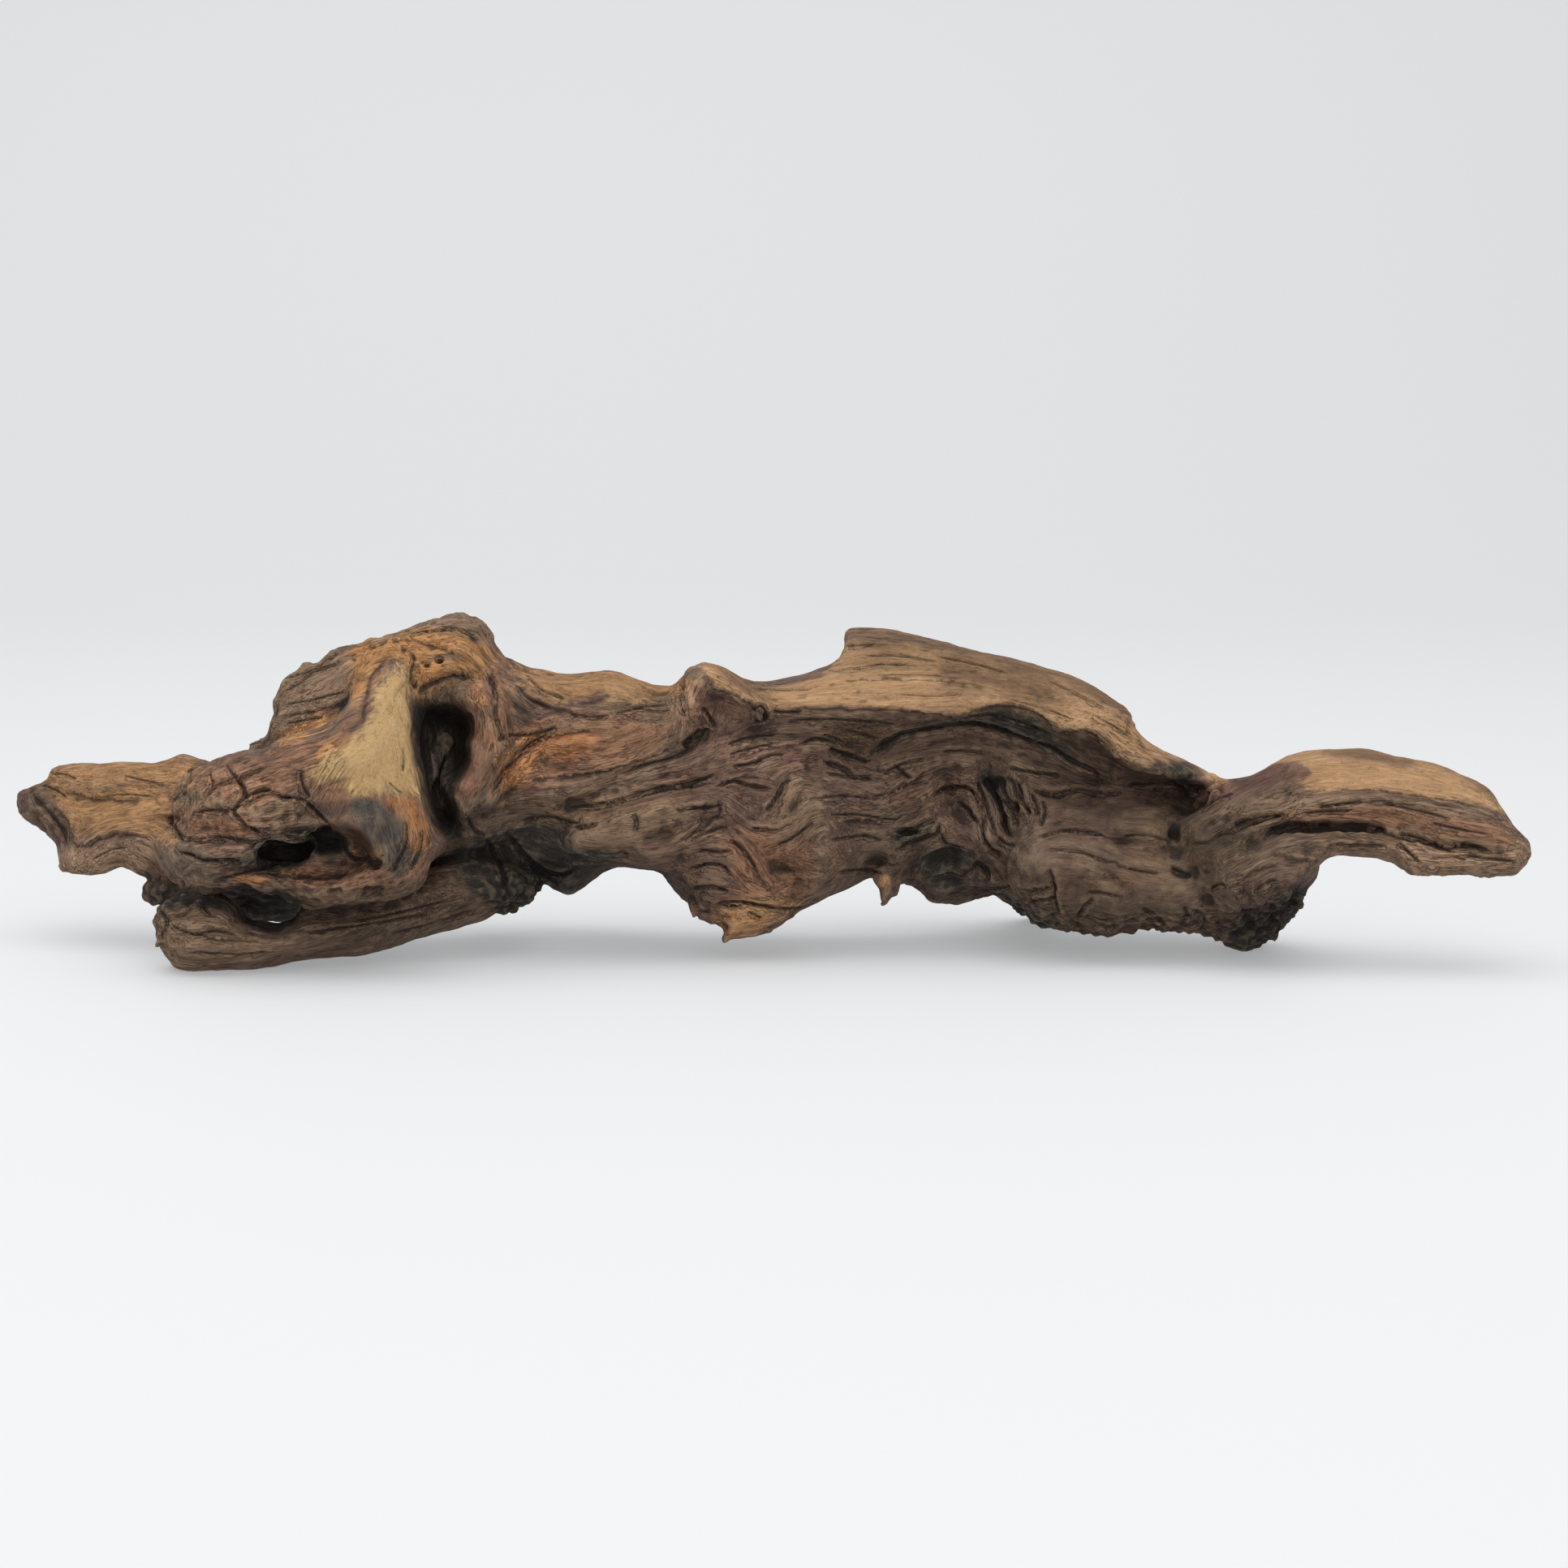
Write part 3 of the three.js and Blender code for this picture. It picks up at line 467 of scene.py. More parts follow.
    ([[1760, 1058], [1790, 1054], [1810, 1062]], 4, 0.9),
    ([[1478, 1000], [1500, 985], [1520, 978]], 3.5, 0.9),
    ([[1466, 1040], [1490, 1036], [1508, 1022]], 3.5, 0.8),
    ([[1760, 1012], [1800, 1022], [1845, 1030]], 3, 0.7),
]

# Steps in the surface, where one layer of wood ends over the next: the line, how far the lip reaches and its
# height in millimetres. Going right, the wood above the line stands out, and going down, the wood right of it.
# A height below zero is the other way round.
LEDGES = [
    # the burl over its slits, and its lower lip over the gap
    ([[286, 998], [300, 1012], [314, 1019], [330, 1028], [350, 1024], [380, 1022], [400, 1018], [412, 1030],
      [422, 1050]], 12, 1.3),
    ([[212, 1044], [235, 1053], [252, 1061], [292, 1064], [318, 1058]], 7, 1.0),
    ([[225, 1088], [245, 1097], [265, 1101], [286, 1087], [302, 1086], [330, 1094], [356, 1104],
      [380, 1114], [404, 1114], [440, 1103], [480, 1089]], 8, 1.1),
    ([[208, 1140], [222, 1149], [246, 1149], [264, 1156], [302, 1159], [350, 1163]], 8, 0.6),
    ([[205, 1000], [216, 1018], [228, 1032], [262, 1036], [300, 1036]], 8, 0.8),
    ([[262, 985], [282, 996], [300, 990], [330, 978], [352, 980], [372, 992]], 7, 0.7),
    # the flat limb
    ([[62, 990], [86, 1012], [98, 1042], [120, 1036], [150, 1028], [192, 1034]], 10, 0.8),
    ([[58, 968], [90, 976], [130, 984], [190, 984]], 8, 0.4),
    # the hump
    ([[345, 852], [372, 838], [402, 812], [432, 800]], 8, 0.5),
    ([[340, 884], [380, 876], [418, 866], [430, 850]], 7, 0.5),
    ([[500, 784], [530, 778], [566, 776], [596, 792]], 7, 0.7),
    ([[604, 820], [612, 846], [616, 880], [622, 914]], 7, 0.7),
    ([[430, 808], [470, 796], [508, 788], [548, 800], [582, 812]], 8, 0.5),
    # the trunk, its long step and its snout
    ([[700, 998], [728, 994], [756, 985], [790, 978], [812, 970], [842, 967], [872, 964],
      [886, 952]], 9, 1.1),
    ([[612, 966], [632, 940], [662, 914], [700, 902], [742, 900]], 9, 0.8),
    ([[640, 960], [690, 956], [740, 950], [790, 936], [840, 918]], 9, 0.5),
    ([[696, 1042], [722, 1050], [752, 1053], [774, 1052]], 8, 1.2),
    ([[646, 1012], [680, 1006], [706, 1016], [742, 1012]], 7, 0.8),
    ([[778, 1002], [784, 1012], [781, 1024]], 6, 0.7),
    ([[828, 995], [852, 995], [884, 990]], 7, 0.9),
    ([[640, 852], [676, 868], [712, 878], [752, 878]], 8, 0.5),
    ([[756, 866], [800, 874], [834, 874]], 7, 0.4),
    # the knob
    ([[842, 922], [852, 909], [868, 898], [882, 900]], 8, 1.0),
    ([[846, 832], [846, 858], [852, 886]], 7, 0.8),
    ([[868, 846], [898, 852], [926, 868], [944, 884]], 6, 0.6),
    # the ledge under the plate, and the wood that stands out over the arch
    ([[930, 872], [1000, 871], [1080, 873], [1150, 878], [1186, 880], [1206, 872], [1232, 868], [1262, 872],
      [1290, 885], [1303, 899], [1345, 902], [1365, 926], [1386, 936], [1406, 947], [1428, 942]], 8, 0.9),
    ([[1150, 890], [1190, 884], [1222, 881], [1262, 890], [1296, 904]], 7, 0.9),
    ([[1064, 934], [1086, 919], [1112, 905], [1146, 898], [1182, 893], [1214, 893], [1246, 902],
      [1276, 913], [1302, 926], [1324, 944]], 11, 1.3),
    ([[1012, 838], [1080, 836], [1150, 838], [1230, 846]], 9, 0.3),
    # folds of the dark wood
    ([[898, 934], [930, 926], [962, 920], [990, 918]], 5, 0.4),
    ([[1014, 940], [1036, 945], [1054, 955], [1080, 960]], 5, 0.5),
    ([[1018, 921], [1046, 930], [1076, 939]], 5, 0.5),
    ([[940, 1004], [953, 986], [962, 968], [978, 955]], 6, 0.5),
    ([[975, 962], [966, 982], [962, 1002], [955, 1012]], 5, 0.4),
    ([[886, 1000], [872, 1020], [852, 1030], [840, 1042]], 7, 0.6),
    ([[925, 1019], [950, 1022], [980, 1012]], 6, 0.7),
    ([[900, 1034], [922, 1052], [938, 1078], [948, 1100]], 8, 0.6),
    ([[878, 1112], [904, 1116], [926, 1112], [946, 1118], [986, 1118], [1006, 1110]], 8, 1.0),
    ([[846, 1072], [870, 1064], [892, 1068], [906, 1082]], 7, 0.7),
    ([[1085, 985], [1108, 972], [1130, 958], [1150, 946]], 8, 0.6),
    ([[1030, 1012], [1064, 1010], [1098, 1014]], 7, 0.5),
    # the flutes and the low hollow
    ([[1150, 981], [1168, 972], [1192, 973], [1208, 987], [1214, 1003]], 6, 1.0),
    ([[1216, 958], [1228, 978], [1238, 1002], [1246, 1032]], 5, 1.0),
    ([[1256, 963], [1261, 986], [1272, 1004]], 5, 0.9),
    ([[1190, 992], [1206, 1012], [1216, 1038], [1234, 1056]], 6, 0.8),
    ([[1100, 1036], [1120, 1022], [1142, 1014], [1156, 1003]], 7, 0.9),
    ([[1102, 1049], [1120, 1040], [1142, 1032], [1158, 1027]], 7, 1.0),
    ([[1130, 1062], [1144, 1048], [1166, 1042], [1196, 1046], [1206, 1062]], 7, 1.0),
    ([[1146, 1092], [1160, 1080], [1186, 1080], [1206, 1072], [1222, 1088]], 7, -0.8),
    # the long checks and the haunch
    ([[1268, 972], [1298, 978], [1330, 973], [1352, 978], [1384, 978]], 8, 0.8),
    ([[1276, 1032], [1310, 1024], [1344, 1026], [1366, 1031], [1404, 1030]], 7, 0.5),
    ([[1290, 1048], [1326, 1048], [1354, 1057], [1374, 1063], [1410, 1074]], 7, 0.5),
    ([[1292, 1066], [1300, 1084], [1301, 1106], [1308, 1130]], 9, 1.1),
    ([[1328, 1136], [1338, 1119], [1350, 1106]], 7, -0.6),
    ([[1250, 1092], [1276, 1094], [1300, 1092]], 6, 0.7),
    ([[1440, 1072], [1456, 1078], [1468, 1080]], 6, 0.8),
    ([[1500, 1100], [1530, 1084], [1556, 1070], [1580, 1066]], 9, 0.5),
    # the horn
    ([[1498, 1024], [1516, 1022], [1532, 1012], [1558, 1007], [1588, 1003]], 9, 1.2),
    ([[1552, 1042], [1560, 1028], [1576, 1020], [1606, 1017], [1652, 1015], [1698, 1019], [1720, 1028],
      [1748, 1033], [1778, 1041], [1812, 1043], [1846, 1051]], 9, 1.2),
    ([[1618, 996], [1650, 991], [1686, 985], [1740, 990], [1790, 1004]], 7, 0.5),
    ([[1596, 962], [1622, 973], [1690, 973], [1740, 979], [1790, 986], [1846, 1000]], 5, 0.3),
    ([[1722, 1036], [1736, 1050], [1752, 1066]], 7, 0.8),
    ([[1566, 1053], [1600, 1058], [1628, 1058]], 5, 0.9),
    ([[1430, 952], [1452, 962], [1468, 980]], 6, 0.7),
]

# What stands up between them: the line, its width and its height.
RIDGES = [
    ([[548, 898], [553, 922], [551, 950], [546, 980]], 6, 2.0),
    ([[526, 890], [531, 925], [539, 965]], 4, 1.2),
    ([[1464, 984], [1484, 978], [1506, 968]], 13, 2.6),
    ([[60, 985], [85, 1010], [96, 1040], [118, 1036], [150, 1030], [190, 1034]], 9, 0.9),
    ([[432, 812], [470, 797], [520, 786], [560, 786]], 9, 0.8),
    ([[506, 866], [506, 900], [512, 945], [521, 990], [530, 1020]], 6, 0.8),
    ([[300, 1003], [335, 1000], [375, 1006]], 22, 1.4),
    ([[225, 1078], [236, 1068], [247, 1059]], 3, 1.0),
    ([[305, 1084], [330, 1092], [352, 1102], [372, 1112], [402, 1114]], 4, 1.0),
    ([[575, 905], [588, 925], [590, 945], [580, 965], [562, 972]], 9, 1.2),
    ([[664, 925], [700, 913], [745, 915]], 10, 0.8),
    ([[872, 848], [900, 856], [926, 870]], 5, 0.8),
    ([[1108, 1026], [1135, 1018], [1150, 1020], [1146, 1030]], 6, 1.0),
    ([[1128, 1088], [1136, 1062], [1152, 1040], [1186, 1034]], 6, 1.0),
    ([[1224, 970], [1234, 990], [1240, 1010]], 3, 0.8),
    ([[1568, 1054], [1600, 1057], [1624, 1057]], 4, 0.9),
    ([[1460, 1022], [1485, 1012], [1512, 1008]], 8, 0.8),
    ([[1590, 1011], [1640, 1008], [1700, 1010]], 5, 0.8),
    ([[905, 1122], [940, 1124], [975, 1128]], 7, 0.8),
    ([[925, 882], [935, 886], [940, 880]], 6, 0.8),
]

# Small holes and hollows: where, how far across each way and how deep.
PITS = [
    ([541, 812], [6, 6], 2.6),
    ([526, 818], [5, 4], 1.4),
    ([514, 845], [4, 5], 1.2),
    ([462, 1065], [9, 9], 2.6),
    ([458, 1100], [20, 8], 2.8),
    ([412, 1099], [9, 7], 2.0),
    ([213, 1010], [9, 8], 1.8),
    ([366, 1048], [16, 14], 3.0),
    ([402, 1040], [26, 13], 6.0),
    ([345, 1050], [34, 9], 2.4),
    ([302, 978], [5, 5], 1.2),
    ([943, 884], [4, 6], 1.8),
    ([1118, 1024], [16, 5], 2.6),
    ([1165, 1058], [26, 15], 4.0),
    ([1168, 1088], [24, 10], 3.2),
    ([1448, 1028], [8, 12], 3.2),
    ([1225, 965], [14, 10], 2.0),
    ([1247, 996], [8, 10], 2.2),
    ([498, 800], [5, 5], 1.0),
    ([436, 812], [4, 4], 0.8),
    ([620, 910], [6, 5], 1.4),
    ([1540, 1012], [12, 5], 1.4),
    ([1300, 978], [6, 3], 1.0),
]

# Checks of the far side, seen from behind straight on: in millimetres along the wood and up.
CHECKS_BEHIND = [
    ([[-70, 70], [-30, 66], [10, 60], [44, 62]], 1.2, 1.6),
    ([[-130, 40], [-95, 46], [-60, 44]], 1.2, 1.4),
    ([[-20, 46], [20, 50], [60, 46], [96, 44]], 1.3, 1.8),
    ([[40, 34], [70, 36], [100, 30]], 1.1, 1.3),
    ([[-110, 80], [-90, 84], [-70, 76]], 1.0, 1.1),
    ([[-52, 32], [-10, 36], [22, 32]], 1.1, 1.3),
    ([[-200, 46], [-170, 44], [-150, 48]], 1.0, 0.9),
    ([[100, 52], [118, 44], [140, 36]], 1.1, 1.3),
    ([[30, 84], [60, 82], [84, 74]], 0.9, 0.9),
    ([[160, 48], [190, 46], [212, 38]], 1.0, 1.0),
    ([[-86, 58], [-60, 58], [-36, 54]], 1.0, 1.1),
    ([[110, 22], [130, 18], [146, 22]], 1.0, 0.9),
    ([[-10, 78], [20, 74], [50, 76]], 1.0, 1.0),
    ([[-150, 60], [-134, 68], [-112, 70]], 1.0, 1.0),
]


def run_of(line, closed=False):
    """A smooth run of points through the line's."""
    ends = np.asarray(line, float)
    if closed:
        ends = np.vstack([ends[-1:], ends, ends[:2]])
    else:
        ends = np.vstack([2 * ends[0] - ends[1], ends, 2 * ends[-1] - ends[-2]])
    steps = np.linspace(0, 1, 5)[:-1, None]
    a, b, c, d = ends[:-3], ends[1:-2], ends[2:-1], ends[3:]
    run = [
        0.5
        * (
            2 * q
            + (r - p) * steps
            + (2 * p - 5 * q + 4 * r - s) * steps**2
            + (3 * q - p - 3 * r + s) * steps**3
        )
        for p, q, r, s in zip(a, b, c, d)
    ]
    return np.vstack([*run, ends[-2:-1]])


def beside_run(marks, run):
    """How far each mark is from the run, with the side it is on as its sign, and how far along it."""
    nearest = np.full(len(marks), np.inf)
    beside = np.full(len(marks), np.inf)
    along = np.zeros(len(marks))
    lengths = np.linalg.norm(np.diff(run, axis=0), axis=1)
    starts = np.concatenate([[0], np.cumsum(lengths)])
    for k, length in enumerate(lengths):
        if length == 0:
            continue
        way = (run[k + 1] - run[k]) / length
        away = marks - run[k]
        ahead = np.clip(away @ way, 0, length)
        off = np.linalg.norm(away - ahead[:, None] * way, axis=1)
        side = way[1] * away[:, 0] - way[0] * away[:, 1]
        closer = off < nearest
        nearest[closer] = off[closer]
        beside[closer] = np.where(side[closer] < 0, -off[closer], off[closer])
        along[closer] = starts[k] + ahead[closer]
    return beside, along, starts[-1]


rng = np.random.default_rng(11)
SWIRLS = rng.permutation(256)
LEANS = rng.normal(size=(256, 3))
LEANS /= np.linalg.norm(LEANS, axis=1, keepdims=True)


def mottle(places):
    """Smooth noise about zero, one swell to a unit."""
    corner = np.floor(places).astype(int)
    inner = places - corner
    weight = inner**3 * (inner * (inner * 6 - 15) + 10)
    total = np.zeros(len(places))
    for i in (0, 1):
        for j in (0, 1):
            for k in (0, 1):
                x, y, z = corner[:, 0] + i, corner[:, 1] + j, corner[:, 2] + k
                lean = LEANS[SWIRLS[(SWIRLS[(SWIRLS[x % 256] + y) % 256] + z) % 256]]
                share = np.ones(len(places))
                for axis, side in enumerate((i, j, k)):
                    share *= weight[:, axis] if side else 1 - weight[:, axis]
                total += share * np.einsum("ij,ij->i", lean, inner - [i, j, k])
    return total * 1.6


# The fibres are laid out beside the runs of the grain, so that a place in them is how far along the run it is,
# how far beside it and how deep. The runs are dealt out into sheets in which no two touch, and each sheet
# counts where its own run is the nearest. How far off the runs are is read from a table of cells.
CELL = 6.0
SHEETS = 5
DRAWN_OUT = 12  # how far the grain goes on past a run's ends, in steps of the run
RUNS_APART = 400  # keeps one run's noise from its neighbours'
BLENDED_OVER = 5  # how far from a run, in points, its sheet starts to give way to the next one's
BLENDED_HARD = 3.5  # and how soon it has done so
across_cells = np.arange(-40, 1980, CELL)
down_cells = np.arange(690, 1270, CELL)
cells = np.stack(np.meshgrid(across_cells, down_cells), axis=-1).reshape(-1, 2)
cell_off, cell_beside, cell_along = [], [], []
for k, line in enumerate(GRAIN):
    run = run_of(line)
    before, after = (run[0] - run[2]) * DRAWN_OUT, (run[-1] - run[-3]) * DRAWN_OUT
    drawn_out = np.vstack([run[:1] + before, run, run[-1:] + after])
    cell_off.append(np.abs(beside_run(cells, run)[0]))
    beside, along, _ = beside_run(cells, drawn_out)
    cell_beside.append(beside)
    cell_along.append(along + RUNS_APART * k)
cell_off, cell_beside, cell_along = np.array(cell_off), np.array(cell_beside), np.array(cell_along)

nearest_run = cell_off.argmin(0).reshape(len(down_cells), len(across_cells))
touching = [set() for _ in GRAIN]
for one, other in ((nearest_run[:, 1:], nearest_run[:, :-1]), (nearest_run[1:], nearest_run[:-1])):
    for p, q in set(zip(one.ravel(), other.ravel())):
        if p != q:
            touching[p].add(q)
            touching[q].add(p)
sheet_of = {}
for k in sorted(range(len(GRAIN)), key=lambda k: -len(touching[k])):
    taken = [sheet_of.get(n) for n in touching[k]]
    sheet_of[k] = min(range(SHEETS), key=lambda sheet: (taken.count(sheet), sheet))

sheet_tables = []
for sheet in range(SHEETS):
    members = np.array([k for k in range(len(GRAIN)) if sheet_of[k] == sheet])
    pick = members[cell_off[members].argmin(0)]
    here = np.arange(len(cells))
    along, beside, off = (values[pick, here] for values in (cell_along, cell_beside, cell_off))
    sheet_tables.append(np.stack([along * POINT, beside * POINT, off], axis=1))


def in_the_fibres(places, marks):
    """For each sheet, the places in the fibres in millimetres, and how much each counts."""
    last_cell = [len(across_cells) - 1.01, len(down_cells) - 1.01]
    cell = np.clip((marks - [across_cells[0], down_cells[0]]) / CELL, 0, last_cell)
    corner = np.floor(cell).astype(int)
    share = cell - corner
    depth = places @ toward_wood
    found, shares = [], []
    for table in sheet_tables:
        grid = table.reshape(len(down_cells), len(across_cells), 3)
        value = np.zeros((len(marks), 3))
        for i in (0, 1):
            for j in (0, 1):
                part = (share[:, 0] if i else 1 - share[:, 0]) * (share[:, 1] if j else 1 - share[:, 1])
                value += part[:, None] * grid[corner[:, 1] + j, corner[:, 0] + i]
        found.append(np.stack([value[:, 0], value[:, 1], depth], axis=1))
        shares.append(1 / (value[:, 2] + BLENDED_OVER) ** BLENDED_HARD)
    shares = np.array(shares)
    return found, shares / np.sqrt((shares**2).sum(0))


def fibres(found, shares, long, wide):
    """Noise drawn out along the grain, in fibres of a length and a width in millimetres."""
    return sum(part * mottle(place / [long, wide, wide]) for place, part in zip(found, shares))


def close_to(run, marks, reach, near):
    """Which marks lie within reach of the box round a run, on the side that is seen."""
    low, high = run.min(0) - reach, run.max(0) + reach
    return np.flatnonzero(((marks > low) & (marks < high)).all(1) & (near > 0))


RUNS_OUT = 0.2  # the share of a stroke over which its end fades


def groove(places, facing, marks, strokes, sign, near, warp):
    """Cuts or raises strokes. Their ends run out, and their edges waver."""
    for line, width, height in strokes:
        run = run_of(line)
        close = close_to(run, marks, 4 * width, near)
        beside, along, length = beside_run(marks[close] + warp[close] * width * 0.4, run)
        ends = ease(0, RUNS_OUT, along / length) * ease(0, RUNS_OUT, 1 - along / length)
        depth = height * ends * np.exp(-((beside / width) ** 2)) * near[close]
        places[close] += sign * depth[:, None] * facing[close]


def step_down(places, facing, marks, ledges, near, warp):
    """Raises one side of each line to a lip, and sinks the other side under it."""
    for line, reach, height in ledges:
        run = run_of(line)
        close = close_to(run, marks, 4 * reach, near)
        beside, along, length = beside_run(marks[close] + warp[close] * 2.5, run)
        ends = ease(0, 0.22, along / length) * ease(0, 0.22, 1 - along / length)
        lip = np.where(beside > 0, np.exp(-beside / reach), -np.exp(beside / (0.7 * reach)))
        lip *= ends * ease(0, 1, 4 - np.abs(beside) / reach)
        places[close] += (height * lip * near[close])[:, None] * facing[close]


places, facing = read_wood()
facing = spread_over_neighbours(facing, 6)
facing /= np.linalg.norm(facing, axis=1, keepdims=True)
near = ease(-0.05, 0.3, facing @ -toward_wood)
behind = ease(0.0, 0.35, facing @ np.array([0.0, 1.0, 0.0]))
marks = seen(places)
marks_behind = places[:, [0, 2]]
found, shares = in_the_fibres(places, marks)
warp = np.stack([mottle(places / 3.0 + 11), mottle(places / 3.0 + 37)], axis=1)

# Where the block stands a little too full or too lean: the middle and the reach of each push, and how far it
# goes to the right and up, all in points of the picture.
PUSHES = [
    ([1360, 1158], [105, 26], 0, 12),
    ([1248, 1128], [26, 24], 6, 8),
    ([1470, 1160], [40, 18], 0, 5),
    ([775, 1084], [60, 16], 0, 6),
    ([630, 1126], [36, 16], 0, 8),
    ([362, 816], [20, 16], 8, -5),
    ([322, 918], [16, 12], 3, -6),
    ([334, 868], [14, 30], -5, 0),
    ([645, 828], [44, 12], 0, -4),
    ([960, 846], [50, 12], 0, -4),
    ([1418, 916], [34, 18], -3, -3),
    ([1880, 1045], [16, 40], -4, 0),
    ([1790, 1088], [70, 14], 0, 5),
    ([490, 1176], [90, 14], 0, -4),
    ([110, 1084], [44, 10], 0, 4),
    ([480, 786], [60, 14], 0, 3),
    ([26, 985], [12, 22], 4, 0),
    ([1612, 1130], [14, 36], -4, 0),
    ([1650, 1064], [30, 10], 0, 4),
    ([235, 942], [30, 10], 0, -3),
    ([330, 1144], [30, 8], 0, 3),
    ([592, 925], [15, 40], -7, 0),
    ([1478, 1172], [34, 14], 0, 6),
    ([1500, 1150], [18, 12], 0, 5),
    ([318, 1142], [22, 6], 0, 3),
]
for centre, size, right, up in PUSHES:
    hold = np.exp(-(((marks - centre) / size) ** 2).sum(1)) * POINT
    places[:, 0] += hold * right
    places[:, 2] += hold * up
marks = seen(places)

# The small tooth under the middle is thin, and the spur left of it runs out to a point: root, tip and reach.
THIN_TIPS = [([1091, 1078], [1088, 1109], 24), ([905, 1128], [893, 1163], 30)]
THINNED = 0.6
for root, tip, reach in THIN_TIPS:
    beside, along, length = beside_run(marks, np.array([root, tip], float))
    hold = ease(0.1, 0.8, along / length) * ease(1.0, 0.6, np.abs(beside) / reach) * (marks[:, 1] > root[1])
    places[:, 0] -= hold * beside * POINT * THINNED
places += (fibres(found, shares, 45, 9) * 0.45)[:, None] * facing
step_down(places, facing, marks, LEDGES, near, warp)
groove(places, facing, marks, RIDGES, 1, near, warp)
CUT = 0.62  # how wide a check is cut, to the width of its worn mouth
groove(places, facing, marks, [(line, width * CUT, deep) for line, width, deep in CHECKS], -1, near, warp)
groove(places, facing, marks_behind, CHECKS_BEHIND, -1, behind, warp)
for centre, size, deep in PITS:
    out = np.linalg.norm((marks - centre + warp * 1.5) / size, axis=1)
    places -= (deep * ease(0, 1, 1.25 - out) * near)[:, None] * facing

# Torn and crumbled places: where, how far across, and how rough.
ROUGH = [
    ([300, 990], [110, 60], 0.75),
    ([380, 1085], [150, 30], 0.8),
    ([450, 790], [110, 22], 0.6),
    ([590, 770], [40, 25], 0.5),
    ([635, 1100], [46, 28], 2.0),
    ([1420, 1146], [180, 20], 1.7),
    ([1565, 1130], [56, 42], 2.1),
    ([1780, 1080], [110, 14], 1.1),
    ([1180, 1085], [110, 40], 0.6),
    ([900, 1110], [80, 45], 0.4),
    ([205, 1108], [46, 26], 1.4),
    ([40, 1000], [40, 40], 0.7),
    ([1270, 1122], [45, 26], 1.5),
    ([880, 870], [50, 50], 0.3),
    ([200, 1150], [22, 40], 0.9),
    ([870, 1126], [40, 24], 1.2),
    ([980, 1140], [50, 14], 0.8),
    ([560, 764], [60, 14], 0.7),
    ([1240, 792], [170, 14], 0.35),
    ([1394, 880], [16, 26], 0.9),
]
LEAST_ROUGH = 0.2
rough = np.full(len(places), LEAST_ROUGH)
for centre, size, amount in ROUGH:
    out = np.linalg.norm((marks - centre) / size, axis=1)
    rough = np.maximum(rough, amount * ease(0, 0.6, 1.3 - out))
crumble = mottle(places / 6.0 + 3) * 0.8 + mottle(places / 2.6 + 9) * 0.75

SMOOTH_PLACES = [
    ([475, 910], [55, 75]),
    ([455, 1005], [60, 45]),
    ([1710, 955], [140, 34]),
    ([560, 850], [50, 22]),
]
WORN = 0.8
worn_smooth = np.zeros(len(places))
for centre, size in SMOOTH_PLACES:
    out = np.linalg.norm((marks - centre) / size, axis=1)
    worn_smooth = np.maximum(worn_smooth, ease(0, 0.5, 1.3 - out) * near)
TABLE = 0.02  # how high the table's face is taken to be, in millimetres: nothing goes under it
relief = rough * crumble + fibres(found, shares, 16, 3.6) * 0.2 + fibres(found, shares, 9, 2.0) * 0.1
places += (relief * (1 - WORN * worn_smooth))[:, None] * facing
places[:, 2] = np.maximum(places[:, 2], TABLE)
driftwood.data.vertices.foreach_set("co", (places / 1000).astype(np.float32).ravel())
driftwood.data.update()

if len(driftwood.data.polygons) * 2 > MOST_FACES:
    finish_with("TRIANGULATE")
    finish_with("DECIMATE", ratio=MOST_FACES / len(driftwood.data.polygons))
driftwood.data.shade_smooth()
